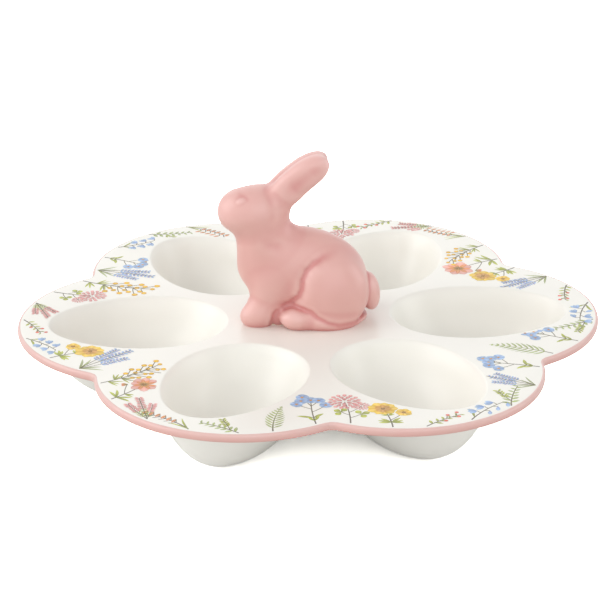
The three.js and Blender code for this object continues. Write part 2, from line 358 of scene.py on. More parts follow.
@dataclass(frozen=True)
class BareClay:
    """Fired earthenware without glaze, where a foot was wiped clean or slip was left bare.

    The eye sees a matt cream with fine darker grit.
    """

    body: str = "E6DACA"
    grit: str = "CDBBA4"
    grit_mm: float = 0.7  # real grit is finer, and is drawn this coarse so that it shows
    roughness: float = 0.85

    def material(self) -> bpy.types.Material:
        """Builds the clay's material.

        Returns:
            The material.
        """
        material, tree = fresh_material("bare_earthenware")
        place = add_node(tree, "ShaderNodeTexCoord").outputs["Object"]
        grain = add_node(
            tree, "ShaderNodeTexNoise", {"Vector": place, "Scale": 1 / (self.grit_mm * MM), "Detail": 3.0}
        ).outputs["Fac"]
        colour = add_node(
            tree,
            "ShaderNodeMix",
            {"Factor": grain, 6: linear(self.body), 7: linear(self.grit)},
            data_type="RGBA",
        ).outputs[2]
        shader = add_node(
            tree, "ShaderNodeBsdfPrincipled", {"Base Color": colour, "Roughness": self.roughness}
        ).outputs[0]
        add_node(tree, "ShaderNodeOutputMaterial", {"Surface": shader})
        return material


@dataclass(frozen=True)
class PrintedInk:
    """Ceramic colours of a flower print, fired under the clear glaze.

    The eye sees thin washes of colour, a little cloudy within each shape, with the same shine as the
    white round them.
    """

    cloud_mm: float = 2.2
    cloud_range: tuple[float, float] = (0.35, 0.75)
    paler: float = 0.1
    roughness: float = 0.4
    ior: float = 1.35

    def material(self) -> bpy.types.Material:
        """Builds the print's material, which reads the "ink" colour at each of the print's points.

        Returns:
            The material.
        """
        material, tree = fresh_material("printed_ceramic_colour")
        place = add_node(tree, "ShaderNodeTexCoord").outputs["Object"]
        ink = add_node(tree, "ShaderNodeAttribute", attribute_name="ink").outputs["Color"]
        clouds = add_node(
            tree, "ShaderNodeTexNoise", {"Vector": place, "Scale": 1 / (self.cloud_mm * MM), "Detail": 2.0}
        ).outputs["Fac"]
        thinnest, thickest = self.cloud_range
        amount = add_node(
            tree,
            "ShaderNodeMapRange",
            {"Value": clouds, "From Min": thinnest, "From Max": thickest, "To Max": self.paler},
        ).outputs["Result"]
        colour = add_node(
            tree, "ShaderNodeMix", {"Factor": amount, 6: ink, 7: linear(WhiteGlaze.body)}, data_type="RGBA"
        ).outputs[2]
        shader = add_node(
            tree,
            "ShaderNodeBsdfPrincipled",
            {"Base Color": colour, "Roughness": self.roughness, "IOR": self.ior},
        ).outputs[0]
        add_node(tree, "ShaderNodeOutputMaterial", {"Surface": shader})
        return material


@dataclass(frozen=True)
class TrayForm:
    """The tray's sizes that several pieces share, in millimetres, and the curves that follow from them."""

    wells: int = 6
    well_reach: float = 77.4
    well_length: float = 74.0
    well_width: float = 52.6
    well_taper: float = 0.12
    well_roundness: float = 1.75
    well_floor: float = 4.0
    well_wall: float = 4.2
    lip_radius: float = 3.0
    foot_width: float = 13.0
    foot_shift: float = 4.5
    deck_top: float = 34.0
    deck_thickness: float = 3.9
    tray_reach: float = 131.7
    lobe_radius: float = 64.0
    notch_radius: float = 5.0

    @property
    def half_sector(self) -> float:
        """Half the angle that one well takes up, in radians."""
        return math.pi / self.wells

    @property
    def turns(self) -> list[float]:
        """How far each well stands round the tray from +X, in radians."""
        return [2 * self.half_sector * well for well in range(self.wells)]

    @property
    def underside(self) -> float:
        """Height of the deck's underside."""
        return self.deck_top - self.deck_thickness

    @property
    def lobe_reach(self) -> float:
        """Distance from the tray's centre to the middle of a lobe's arc."""
        return self.tray_reach - self.lobe_radius

    def egg(self, half_width: float, angle: np.ndarray) -> np.ndarray:
        """An egg outline round the well along +X.

        Args:
            half_width: Half its width.
            angle: Where on it, in radians. 0 is the narrow end.

        Returns:
            Points from the tray's centre.
        """
        share = min(1.0, half_width / (self.well_width / 2))
        half_length = half_width + share * (self.well_length - self.well_width) / 2
        along = half_length * np.cos(angle) + self.foot_shift * (1 - share)
        across = half_width * np.sin(angle) * (1 - self.well_taper * np.cos(angle))
        return np.stack([self.well_reach + along, across], -1)

    def rim(self, share: np.ndarray) -> tuple[np.ndarray, np.ndarray]:
        """Places on the outer edge of the lobe along +X.

        Args:
            share: -1 at the notch on its right, 1 at the notch on its left, even along the edge.

        Returns:
            The places, and the outward directions there.
        """
        half = self.half_sector
        reach, lobe, notch = self.lobe_reach, self.lobe_radius, self.notch_radius
        chord = reach * math.sin(half)
        corner = reach * math.cos(half) + math.sqrt((lobe + notch) ** 2 - chord**2)
        corner_x, corner_y = corner * math.cos(half), corner * math.sin(half)
        half_lobe = math.atan2(corner_y, corner_x - reach)
        half_notch = half_lobe - half
        lobe_run = lobe * half_lobe
        run = np.abs(share) * (lobe_run + notch * half_notch)
        on_lobe = run <= lobe_run
        lobe_angle = run / lobe
        lobe_way = np.stack([np.cos(lobe_angle), np.sin(lobe_angle)], -1)
        notch_angle = math.pi + half_lobe - (run - lobe_run) / notch
        notch_way = np.stack([np.cos(notch_angle), np.sin(notch_angle)], -1)
        on_arc = np.array([reach, 0.0]) + lobe * lobe_way
        in_notch = np.array([corner_x, corner_y]) + notch * notch_way
        place = np.where(on_lobe[:, None], on_arc, in_notch)
        outward = np.where(on_lobe[:, None], lobe_way, -notch_way)
        side = np.where(share < 0, -1.0, 1.0)
        place[:, 1] *= side
        outward[:, 1] *= side
        return place, outward

    def bowl(self, foot: float, low: float, brim: float, high: float, angle: np.ndarray) -> np.ndarray:
        """A bowl's side, level at its foot and upright at its brim.

        Args:
            foot: Half width of its flat foot.
            low: Height of the foot.
            brim: Half width at the brim.
            high: Height of the brim.
            angle: From 0 at the foot to a quarter turn at the brim.

        Returns:
            Half widths and heights.
        """
        power = 2 / self.well_roundness
        half_width = foot + (brim - foot) * np.sin(angle) ** power
        return np.stack([half_width, high - (high - low) * np.cos(angle) ** power], -1)


class CastingFinish(IntEnum):
    """The casting's finishes, in the order in which it carries them."""

    GLAZE = 0
    CLAY = 1


@dataclass
class TrayCasting:
    """The white casting: deck, rolled lips, bowls, feet and the kiln vent, as one closed skin."""

    form: TrayForm
    edge_inset: float = 0.3  # room for the pink band's glaze
    edge_rounding: float = 1.5
    hub_radius: float = 22.0
    vent_width: float = 4.0
    vent_place: float = 7.2
    lip_spread: float = 1.0  # how far the lip's roll reaches out past the well's mouth
    lip_drop: float = 8.5  # how far down the bowl it starts
    lip_fullness: float = 2.35  # the roll's section: 2 is an ellipse, more runs flatter into deck and bowl
    fillet_height: float = 5.0
    fillet_run: float = 4.0
    fillet_share: float = 0.85  # the most that a fillet takes of the underside's free width
    rim_steps: int = 48
    web_steps: int = 32
    hub_steps: int = 8
    bowl_rings: int = 22
    lip_rings: int = 16
    outside_rings: int = 16
    deck_shares: tuple[float, ...] = (0.04, 0.15, 0.4, 0.7, 1.0)
    under_shares: tuple[float, ...] = (0.0, 0.4, 0.75, 0.95)
    fillet_rings: int = 7
    edge_rings: int = 6
    floor_angle: float = 0.05  # of the first ring round the middle of a well's floor
    foot_share: float = 0.5  # of the ring within a foot
    vent_share: float = 0.3  # of the ring round the vent
    table_steps: int = 4001  # for looking up where along the rim or an egg an angle lies

    def border(self) -> tuple[np.ndarray, np.ndarray, np.ndarray]:
        """The edge of one well's share of the deck, anticlockwise from the notch on its right.

        Returns:
            The border's points, the rim's share at its rim points, and each point's angle on the egg.
        """
        form = self.form
        half = form.half_sector
        flat_inset = self.edge_inset + self.edge_rounding
        dense = np.linspace(-1, 1, self.table_steps)
        place, outward = form.rim(dense)
        flat = place - outward * flat_inset
        dense_angle = np.arctan2(flat[:, 1], flat[:, 0] - form.well_reach)
        notch_angle = dense_angle[-1]
        rim_angle = np.linspace(-notch_angle, notch_angle, self.rim_steps + 1)
        rim_share = np.interp(rim_angle, dense_angle, dense)
        place, outward = form.rim(rim_share)
        rim_points = place - outward * flat_inset

        hub_end = self.hub_radius * np.array([math.cos(half), math.sin(half)])
        hub_angle = math.atan2(hub_end[1], hub_end[0] - form.well_reach)
        web_angle = np.linspace(notch_angle, hub_angle, self.web_steps + 1)[1:]
        reach = form.well_reach * np.sin(web_angle) / np.sin(web_angle - half)
        web = np.stack([reach * math.cos(half), reach * math.sin(half)], -1)
        turn = np.linspace(half, -half, self.hub_steps + 1)[1:-1]
        hub = self.hub_radius * np.stack([np.cos(turn), np.sin(turn)], -1)
        other_web = web[::-1] * np.array([1.0, -1.0])
        points = np.concatenate([rim_points, web, hub, other_web])

        mouth = form.well_width / 2 + form.lip_radius
        table = np.linspace(-math.pi, math.pi, self.table_steps)
        on_egg = form.egg(mouth, table)
        egg_direction = np.arctan2(on_egg[:, 1], on_egg[:, 0] - form.well_reach)
        egg_direction[0], egg_direction[-1] = -math.pi, math.pi
        direction = np.arctan2(points[:, 1], points[:, 0] - form.well_reach)
        return points, rim_share, np.interp(direction, egg_direction, table)

    def inside_profile(self) -> np.ndarray:
        """The inside of a well, from its floor up over its rolled lip.

        Returns:
            Half widths and heights.
        """
        form = self.form
        brim = form.deck_top - form.lip_radius
        start = form.deck_top - self.lip_drop
        power = 2 / form.well_roundness
        share = (brim - start) / (brim - form.well_floor)
        last = math.acos(share ** (1 / power))
        angle = np.linspace(self.floor_angle, last, self.bowl_rings)
        bowl = form.bowl(0.0, form.well_floor, form.well_width / 2, brim, angle)
        foot = bowl[-1]
        lean = (bowl[-1, 0] - bowl[-2, 0]) / (bowl[-1, 1] - bowl[-2, 1])
        corner = np.array([foot[0] + lean * self.lip_drop, form.deck_top])
        edge = np.array([form.well_width / 2 + form.lip_radius + self.lip_spread, form.deck_top])
        roll = np.linspace(0, math.pi / 2, self.lip_rings + 1)[1:, None]
        across = (1 - np.cos(roll) ** (2 / self.lip_fullness)) * (edge - corner)
        upward = (1 - np.sin(roll) ** (2 / self.lip_fullness)) * (corner - foot)
        return np.concatenate([bowl, corner + across - upward])

    def outside_profile(self) -> np.ndarray:
        """The outside of a well, from under the deck's fillet down to the foot.

        Returns:
            Half widths and heights.
        """
        form = self.form
        power = 2 / form.well_roundness
        start = form.underside - self.fillet_height
        share = (form.deck_top - start) / form.deck_top
        first = math.acos(share ** (1 / power))
        angle = np.linspace(first, 0.0, self.outside_rings)
        brim = form.well_width / 2 + form.well_wall
        return form.bowl(form.foot_width / 2, 0.0, brim, form.deck_top, angle)

    def upper_rings(self, border: np.ndarray, egg_angle: np.ndarray) -> list[np.ndarray]:
        """A well's inside, its lip and the deck round it.

        Args:
            border: The edge of the well's share of the deck.
            egg_angle: Each border point's angle on the egg.

        Returns:
            Rings of points, from the well's floor outward.
        """
        form = self.form
        profile = self.inside_profile()
        rings = [at_height(form.egg(half, egg_angle), height) for half, height in profile]
        lip_edge = rings[-1]
        deck_edge = at_height(border, form.deck_top)
        return rings + [lip_edge + (deck_edge - lip_edge) * share for share in self.deck_shares]

    def edge_rows(self, rim_share: np.ndarray) -> list[np.ndarray]:
        """The deck's rounded edge along a lobe's rim.

        Args:
            rim_share: Places along the rim.

        Returns:
            Rows of points, from the deck's top to its underside.
        """
        form = self.form
        place, outward = form.rim(rim_share)
        turn = np.linspace(0, math.pi / 2, self.edge_rings + 1)
        drop = self.edge_rounding * (1 - np.cos(turn))
        rounding = self.edge_inset + self.edge_rounding * (1 - np.sin(turn))
        insets = np.concatenate([rounding, rounding[::-1]])
        heights = np.concatenate([form.deck_top - drop, form.underside + drop[::-1]])
        steps = zip(insets, heights, strict=True)
        return [at_height(place - outward * inset, height) for inset, height in steps]

    def lower_rings(self, border: np.ndarray, egg_angle: np.ndarray) -> list[np.ndarray]:
        """The deck's underside, the fillet under it and a well's outside.

        Args:
            border: The edge of the well's share of the deck.
            egg_angle: Each border point's angle on the egg.

        Returns:
            Rings of points, from the border inward and down to within the foot.
        """
        form = self.form
        wall = self.outside_profile()
        lean = (wall[0, 0] - wall[1, 0]) / (wall[0, 1] - wall[1, 1])
        fillet_end = at_height(form.egg(wall[0, 0], egg_angle), wall[0, 1])
        corner_width = wall[0, 0] + lean * self.fillet_height
        corner = at_height(form.egg(corner_width, egg_angle), form.underside)
        under_edge = at_height(border, form.underside)
        gap = np.linalg.norm(under_edge - corner, axis=1)
        run = np.minimum(self.fillet_run, self.fillet_share * gap) / gap
        fillet_start = corner + (under_edge - corner) * run[:, None]
        rings = [under_edge + (fillet_start - under_edge) * share for share in self.under_shares]
        for share in np.linspace(0, 1, self.fillet_rings + 1)[:-1]:
            rest = 1 - share
            rings.append(rest**2 * fillet_start + 2 * share * rest * corner + share**2 * fillet_end)
        rings += [at_height(form.egg(half, egg_angle), height) for half, height in wall]
        rings.append(at_height(form.egg(wall[-1, 0] * self.foot_share, egg_angle), 0.0))
        return rings

    def sector(self) -> tuple[np.ndarray, list[list[int]], list[int], np.ndarray]:
        """One well with its share of the deck, along +X.

        Returns:
            Its points, its faces, each face's finish, and its border on the hub.
        """
        form = self.form
        border, rim_share, egg_angle = self.border()
        count = len(border)
        upper = self.upper_rings(border, egg_angle)
        edge = self.edge_rows(rim_share)
        lower = self.lower_rings(border, egg_angle)

        points = np.concatenate(upper + edge + lower)
        faces = grid_faces(0, len(upper), count, closed=True)
        edge_start = len(upper) * count
        faces += grid_faces(edge_start, len(edge), len(rim_share), closed=False)
        lower_start = edge_start + len(edge) * len(rim_share)
        faces += grid_faces(lower_start, len(lower), count, closed=True)
        finish = [CastingFinish.GLAZE] * (len(faces) - count) + [CastingFinish.CLAY] * count

        middle = form.well_reach + form.foot_shift
        floor, foot = len(points), len(points) + 1
        points = np.vstack([points, [[middle, 0, form.well_floor], [middle, 0, 0]]])
        last = floor - count
        for here in range(count):
            after = (here + 1) % count
            faces.append([floor, here, after])
            finish.append(CastingFinish.GLAZE)
            faces.append([foot, last + after, last + here])
            finish.append(CastingFinish.CLAY)
        first = self.rim_steps + self.web_steps
        hub = border[first : first + self.hub_steps + 1][::-1]
        return points, faces, finish, hub

    def hub(self, border: np.ndarray) -> tuple[np.ndarray, list[list[int]]]:
        """The flat middle of the deck, with the kiln vent through it.

        Args:
            border: One well's share of the hub's edge.

        Returns:
            Its points and faces.
        """
        form = self.form
        circle = np.concatenate([turned(border[:-1], turn) for turn in form.turns])
        way = circle / self.hub_radius
        vent = np.array([self.vent_place, 0.0]) + way * self.vent_width / 2
        between = vent + (circle - vent) * self.vent_share
        rows = []
        for height, rings in (
            (form.underside, (circle, between, vent)),
            (form.deck_top, (vent, between, circle)),
        ):
            rows += [at_height(ring, height) for ring in rings]
        return np.concatenate(rows), grid_faces(0, len(rows), len(circle), closed=True)

    def build(self, glaze: bpy.types.Material, clay: bpy.types.Material) -> bpy.types.Object:
        """Joins the six wells and the hub into one casting.

        Args:
            glaze: The white glaze.
            clay: The bare clay of the feet.

        Returns:
            The casting.
        """
        points, faces, finish, hub_border = self.sector()
        all_points, all_faces, all_finish = [], [], []
        for well, turn in enumerate(self.form.turns):
            start = well * len(points)
            all_points.append(turned(points, turn))
            all_faces += [[corner + start for corner in face] for face in faces]
            all_finish += finish
        start = self.form.wells * len(points)
        hub_points, hub_faces = self.hub(hub_border)
        all_points.append(hub_points)
        all_faces += [[corner + start for corner in face] for face in hub_faces]
        all_finish += [CastingFinish.GLAZE] * len(hub_faces)
        skin = np.concatenate(all_points)
        casting = mesh_piece("tray_casting", skin, all_faces, [glaze, clay], all_finish, weld=True)
        wells = [f"egg_well_{well + 1}" for well in range(self.form.wells)]
        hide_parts("tray_deck", *wells)
        return casting


@dataclass
class RimBand:
    """The pink glaze along the tray's edge, brushed on, so that its borders waver a little."""

    form: TrayForm
    casting: TrayCasting
    depth: float = 0.4  # how far the coat's inner side lies under the casting's skin
    feather: float = 0.03  # the coat's thickness at its borders
    feather_steps: int = 3
    upper_border: float = 20.0  # where the coat starts and ends on the rounded edge, in degrees
    lower_border: float = 25.0
    waver: float = 3.0
    waves: tuple[tuple[int, float, float], ...] = (  # how many round the rim, where they start, how strong
        (7, 0.4, 0.5),
        (19, 1.9, 0.3),
        (43, 4.1, 0.2),
    )
    thinnest: float = 0.05  # painted highlight and shade down the band: the share at its top, and how much more at the bottom
    lower_shade: float = 0.8
    steps: int = 120
    arc_steps: int = 7

    def section(self, sway: np.ndarray) -> list[tuple[np.ndarray, np.ndarray, np.ndarray, np.ndarray]]:
        """The coat's course from its upper to its lower border.

        Args:
            sway: How far the upper border wavers at each place along the rim, from -1 to 1.

        Returns:
            For each step of the course, the inset and height on the casting and the way out of its skin.
        """
        radius = self.casting.edge_rounding
        ends = (
            (self.form.deck_top, -1, np.radians(self.upper_border + self.waver * sway)),
            (self.form.underside, 1, np.full(len(sway), math.radians(self.lower_border))),
        )
        course = []
        for height, side, border in ends:
            arc = []
            for share in np.linspace(0, 1, self.arc_steps + 1):
                turn = border + (math.pi / 2 - border) * share
                inset = self.casting.edge_inset + radius * (1 - np.sin(turn))
                level = height + side * radius * (1 - np.cos(turn))
                arc.append((inset, level, np.sin(turn), -side * np.cos(turn)))
            course += arc if side < 0 else arc[::-1]
        return course

    def build(self, glaze: bpy.types.Material) -> bpy.types.Object:
        """Carries the band's section round the six lobes.

        Args:
            glaze: The pink glaze.

        Returns:
            The band.
        """
        form = self.form
        place, outward = form.rim(np.linspace(-1, 1, self.steps + 1)[:-1])
        place = np.concatenate([turned(place, turn) for turn in form.turns])
        outward = np.concatenate([turned(outward, turn) for turn in form.turns])
        around = np.linspace(0, 2 * math.pi, len(place), endpoint=False)
        sway = sum(share * np.sin(count * around + start) for count, start, share in self.waves)
        course = self.section(sway)
        outer, inner = [], []
        for step, (inset, level, out, up) in enumerate(course):
            from_border = min(step, len(course) - 1 - step)
            full = min(1.0, from_border / self.feather_steps)
            coat = self.feather + (self.casting.edge_inset - self.feather) * full
            for rows, offset in ((outer, coat), (inner, -self.depth)):
                flat = place - outward * (inset - offset * out)[:, None]
                rows.append(np.column_stack([flat, level + offset * up]))
        rows = outer + inner[::-1] + outer[:1]
        faces = grid_faces(0, len(rows), len(place), closed=True)
        band = mesh_piece("rim_band_glaze", np.concatenate(rows), faces, [glaze], weld=True)
        heights = np.array([corner.co.z for corner in band.data.vertices]) / MM
        # painted light on the band: paler along its top as a highlight, rosier lower down as shade
        drop = np.clip((form.deck_top - heights) / form.deck_thickness, 0, 1)
        mark_pooling_and_shade(band, drop * self.lower_shade + self.thinnest)
        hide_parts("rim_band")
        return band


@dataclass(frozen=True)
class Mass:
    """One rounded mass of the rabbit, in millimetres from the middle of the deck's upper face.

    A mass off the middle has a twin on the other side.
    """

    x: float
    y: float
    z: float
    length: float
    width: float
    height: float
    pitch: float = 0.0
    crease: float = 2.0
    stagger: float = 0.0  # how much further back the far twin stands

    def distance(self, points: np.ndarray) -> np.ndarray:
        """Signed distance, nearly, from points to the mass.

        Args:
            points: Rows of x, y and z. y is taken from the middle, on either side.

        Returns:
            Distances, below zero inside.
        """
        pitch = math.radians(self.pitch)
        dx = points[:, 0] - self.x
        dy = np.abs(points[:, 1]) - self.y
        dz = points[:, 2] - self.z
        if self.stagger:
            far = np.clip(points[:, 1] / (2 * self.y) + 0.5, 0, 1)
            dx = dx - self.stagger * eased(far)
        across = dy / (self.width / 2)
        along = (dx * math.cos(pitch) + dz * math.sin(pitch)) / (self.length / 2)
        upward = (dz * math.cos(pitch) - dx * math.sin(pitch)) / (self.height / 2)
        reach = np.sqrt(along**2 + across**2 + upward**2)
        slope = np.sqrt(
            (along / self.length) ** 2 + (across / self.width) ** 2 + (upward / self.height) ** 2
        )
        return reach * (reach - 1) / (2 * slope + TINY)


def blended(first: np.ndarray, second: np.ndarray, crease: float) -> np.ndarray:
    """Joins two distances, with a valley of the given radius between them.

    Args:
        first: Distances to one shape.
        second: Distances to another.
        crease: The valley's radius.

    Returns:
        Distances to both.
    """
    overlap = np.maximum(0, crease - np.abs(first - second))
    return np.minimum(first, second) - overlap**2 / (4 * crease)


@dataclass(frozen=True)
class Stroke:
    """A groove pressed into both sides of the rabbit along a line seen from its side, in millimetres."""

    path: tuple[tuple[float, float], ...]
    width: float
    depth: float
    fade: float = 0.2  # share of its length over which it runs out at each end
    inner: float = 0.0  # how far from the middle it starts, and over what width it sets in
    inner_run: float = 2.0

    def carved(self, points: np.ndarray) -> np.ndarray:
        """How deep the groove is at each point.

        Args:
            points: Rows of x, y and z.

        Returns:
            Depths.
        """
        flat = points[:, [0, 2]]
        corners = np.array(self.path)
        runs = np.linalg.norm(np.diff(corners, axis=0), axis=1)
        before = np.concatenate([[0], np.cumsum(runs)])
        nearest = np.full(len(flat), np.inf)
        place = np.zeros(len(flat))
        for index, run in enumerate(runs):
            way = (corners[index + 1] - corners[index]) / run
            along = np.clip((flat - corners[index]) @ way, 0, run)
            away = np.linalg.norm(flat - corners[index] - along[:, None] * way, axis=1)
            closer = away < nearest
            nearest = np.where(closer, away, nearest)
            place = np.where(closer, before[index] + along, place)
        from_end = np.minimum(place, before[-1] - place) / (self.fade * before[-1])
        ends = eased(np.clip(from_end, 0, 1))
        outer = 1.0
        if self.inner:
            outer = np.clip((np.abs(points[:, 1]) - self.inner) / self.inner_run, 0, 1)
        return self.depth * ends * outer * np.exp(-((nearest / self.width) ** 2))


@dataclass
class Rabbit:
    """The sitting rabbit, a slip casting whose limbs, ears and face are pressed into one soft form."""

    deck_top: float
    cell: float = 0.7
    sunk: float = 0.8  # how far the casting reaches into the slip under it
    low: tuple[float, float] = (-44.0, -24.0)
    high: tuple[float, float, float] = (36.0, 24.0, 80.0)
    body: tuple[Mass, ...] = (
        Mass(-4.7, 0, 24.7, 55.6, 27, 37.4, -6.6),  # torso
        Mass(7.6, 0, 14.5, 38, 33, 38.6, -15, 6),  # rump
        Mass(-6, 0, 4, 38, 22, 18, 0, 3),  # belly
        Mass(-20.8, 0, 41.3, 24, 21, 25.2, 0, 7.5),  # neck
        Mass(-24.2, 0, 52.6, 32.4, 24, 22, 11, 5),  # head
        Mass(-32.1, 0, 53.2, 14.4, 15, 14.6, 0, 5),  # muzzle
        Mass(27.3, 0, 11.8, 9.6, 13, 18.2, 8, 0.9),  # tail
        Mass(10.3, 9.6, 15.2, 30, 19, 33.6, 0, 6),  # thigh
        Mass(6.2, 12.2, 3.0, 26.4, 13, 9, 0, 4),  # heel
        Mass(8.8, 0, 0.9, 35, 31.4, 6.6, 0, 2.5),  # base under the haunches
        Mass(-6.2, 12.6, 4.3, 15.6, 11.4, 10.6, -4, 2),  # hind toes
        Mass(-19.8, 5.8, 11.5, 13, 12, 25, -14, 7, 4),  # foreleg
        Mass(-24.6, 6.6, 4.5, 14.4, 11.6, 11.2, 14, 5, 4),  # forepaw
        Mass(-9.3, 4.2, 62.9, 31.4, 8.6, 13.0, 44, 2.5),  # ear
        Mass(0.4, 4.0, 70.6, 18.4, 8.6, 11.4, 36, 3),  # ear tip
        Mass(-6.4, 0, 65.1, 34.2, 8.4, 12.4, 42, 4.2),  # web between the ears
    )
    eye: Mass = Mass(-30.6, 7.1, 58.6, 4.6, 2.6, 3.3, 15, 0.9)
    strokes: tuple[Stroke, ...] = (
        Stroke(  # the front of the haunch
            (
                (14, 34.7), (9.9, 33.9), (5.2, 32.8), (1.1, 30.6), (-2.1, 27.7), (-3.9, 23.5),
                (-4.5, 19.2), (-5.7, 15.7), (-9, 11.6), (-13, 8.8), (-17, 6.4),
            ),
            2.1,
            0.8,
            0.3,
        ),
        Stroke(  # and its crisper middle
            (
                (5.2, 32.8), (1.1, 30.6), (-2.1, 27.7), (-3.9, 23.5),
                (-4.5, 19.2), (-5.7, 15.7), (-9, 11.6), (-14, 8.4),
            ),
            0.9,
            0.3,
            0.3,
        ),
        Stroke(((-14, 9.5), (-16.4, 6.2), (-17.4, 2), (-17.6, -3)), 1.5, 1.0, 0.3),  # between the feet
        Stroke(  # over the foot, then round the base behind it
            ((-10, 9.9), (-3.8, 9.7), (-0.5, 9.1), (2.1, 6.6), (7, 4.2), (12, 2.9), (20, 2.6), (30, 2.8)),
            1.25,
            0.45,
            0.15,
        ),
        Stroke(((-19, 64), (-18, 58.5), (-17.4, 54), (-18.5, 48)), 2.0, 0.25, 0.4),  # behind the cheek
        Stroke(((-33.4, 59.4), (-31.4, 61.2), (-28.6, 60.8), (-27, 59)), 1.0, 0.2, 0.45),  # over the eye
        Stroke(((-24, 40.8), (-17, 38.9), (-10, 36.6)), 2.8, 0.4, 0.45),  # above the shoulder
        Stroke(((-13, 59.8), (-9.3, 63.2), (0.4, 71.4), (6.6, 76.2)), 3.8, 0.85, 0.3, 4.0),  # in the ear
    )
    settle_rounds: int = 2
    settle_step: float = 0.05
    settle_share: float = 1 / 3  # the most that a point moves in a round, of a cell
    curvature_step: float = 1.8
    curvature_flat: float = 0.09  # what counts as neither ridge nor crease on so round a form
    curvature_range: float = 0.35
    base_shade_height: float = 9.0  # how high above the deck painted shade and pooled glaze darken the base, and how much
    foot_share: float = 0.65

    def distance(self, points: np.ndarray) -> np.ndarray:
        """Signed distance from points to the rabbit's skin.

        Args:
            points: Rows of x, y and z from the middle of the deck's upper face.

        Returns:
            Distances, below zero inside.
        """
        result = self.body[0].distance(points)
        for mass in self.body[1:]:
            result = blended(result, mass.distance(points), mass.crease)
        for stroke in self.strokes:
            result = result + stroke.carved(points)
        return blended(result, self.eye.distance(points), self.eye.crease)

    def gradient(self, points: np.ndarray, step: float) -> np.ndarray:
        """Slope of the distance, by small steps along each axis.

        Args:
            points: Rows of x, y and z.
            step: The steps' length.

        Returns:
            The slopes along x, y and z.
        """
        columns = []
        for axis in np.eye(3):
            ahead = self.distance(points + axis * step)
            behind = self.distance(points - axis * step)
            columns.append((ahead - behind) / (2 * step))
        return np.stack(columns, -1)

    def crossed_cubes(self, values: np.ndarray) -> tuple[np.ndarray, np.ndarray]:
        """Finds the cubes of a grid that the skin passes through.

        Args:
            values: The distance at each corner of the grid.

        Returns:
            The cubes' places in the grid, and where in each of them the skin lies, from 0 to 1.
        """
        inside = values < 0
        cubes = np.array(values.shape) - 1
        total = np.zeros((*cubes, 3))
        hits = np.zeros(cubes)

        def block(array: np.ndarray, offset: Sequence[int]) -> np.ndarray:
            """The array's values at one corner of every cube."""
            parts = [slice(start, start + size) for start, size in zip(offset, cubes, strict=True)]
            return array[tuple(parts)]

        for axis, first, second in itertools.product(range(3), (0, 1), (0, 1)):
            start = np.insert([first, second], axis, 0)
            end = np.insert([first, second], axis, 1)
            crossed = block(inside, start) != block(inside, end)
            at_start = block(values, start)
            fall = np.where(crossed, at_start - block(values, end), 1)
            share = np.where(crossed, at_start / fall, 0)
            hits += crossed
            for other in range(3):
                total[..., other] += crossed * (share if other == axis else start[other])
        used = hits > 0
        return np.argwhere(used), total[used] / hits[used][:, None]

    def crossed_edges(self, inside: np.ndarray, number: np.ndarray) -> list[list[int]]:
        """Spans a face across each edge of a grid that the skin crosses.

        Args:
            inside: Whether each corner of the grid lies inside.
            number: The number of each cube's point.

        Returns:
            Four-sided faces that look outward.
        """
        faces = []
        for axis in range(3):
            across, upward = (axis + 1) % 3, (axis + 2) % 3
            here = [slice(1, size - 1) for size in inside.shape]
            there = list(here)
            here[axis] = slice(0, inside.shape[axis] - 1)
            there[axis] = slice(1, inside.shape[axis])
            leaving = inside[tuple(here)] & ~inside[tuple(there)]
            entering = ~inside[tuple(here)] & inside[tuple(there)]
            for crossed, order in ((leaving, 1), (entering, -1)):
                ring = []
                for step_across, step_upward in ((0, 0), (1, 0), (1, 1), (0, 1)):
                    cube = np.argwhere(crossed)
                    cube[:, across] += step_across
                    cube[:, upward] += step_upward
                    ring.append(number[tuple(cube.T)])
                faces += np.stack(ring[::order], -1).tolist()
        return faces

    def settled(self, points: np.ndarray) -> np.ndarray:
        """Moves points onto the skin, apart from those of the flat base.

        Args:
            points: Rows of x, y and z near the skin.

        Returns:
            The moved points.
        """
        lifted = points[:, 2] > -self.sunk + self.cell / 2
        most = self.cell * self.settle_share
        result = points.copy()
        for _ in range(self.settle_rounds):
            slope = self.gradient(result[lifted], self.settle_step)
            steep = np.sum(slope**2, 1)[:, None]
            move = self.distance(result[lifted])[:, None] * slope / steep
            result[lifted] -= np.clip(move, -most, most)
        return result

    def skin(self) -> tuple[np.ndarray, list[list[int]]]:
        """The surface where the distance is zero, found on a grid of cubes.

        Each cube that the surface crosses gets one point, and each grid edge that it crosses one face.

        Returns:
            Points and four-sided faces.
        """
        low = np.array([*self.low, -self.sunk - self.cell / 2])
        sizes = np.ceil((np.array(self.high) - low) / self.cell).astype(int)
        ticks = [low[axis] + self.cell * np.arange(sizes[axis]) for axis in range(3)]
        places = np.stack(np.meshgrid(*ticks, indexing="ij"), -1).reshape(-1, 3)
        values = self.distance(places).reshape(sizes)
        values[:, :, 0] = self.cell
        cubes, within = self.crossed_cubes(values)
        number = np.full(sizes - 1, -1)
        number[tuple(cubes.T)] = np.arange(len(cubes))
        points = low + self.cell * (cubes + within)
        return self.settled(points), self.crossed_edges(values < 0, number)

    def pooling_and_shade(self, points: np.ndarray) -> np.ndarray:
        """How much glaze pools at each point, with painted shade in creases and along the base.

        Args:
            points: Rows of x, y and z.

        Returns:
            0 on a ridge, 0.5 on an even round, and 1 in a crease or at the foot.
        """
        step = self.curvature_step
        bend = -6 * self.distance(points)
        for axis in np.eye(3):
            bend += self.distance(points + axis * step) + self.distance(points - axis * step)
        bend /= step**2
        # rosier in creases and paler on ridges as glaze pools and thins; the crease darkening is also
        # painted shade
        crease = 0.5 - 0.5 * (bend - self.curvature_flat) / self.curvature_range
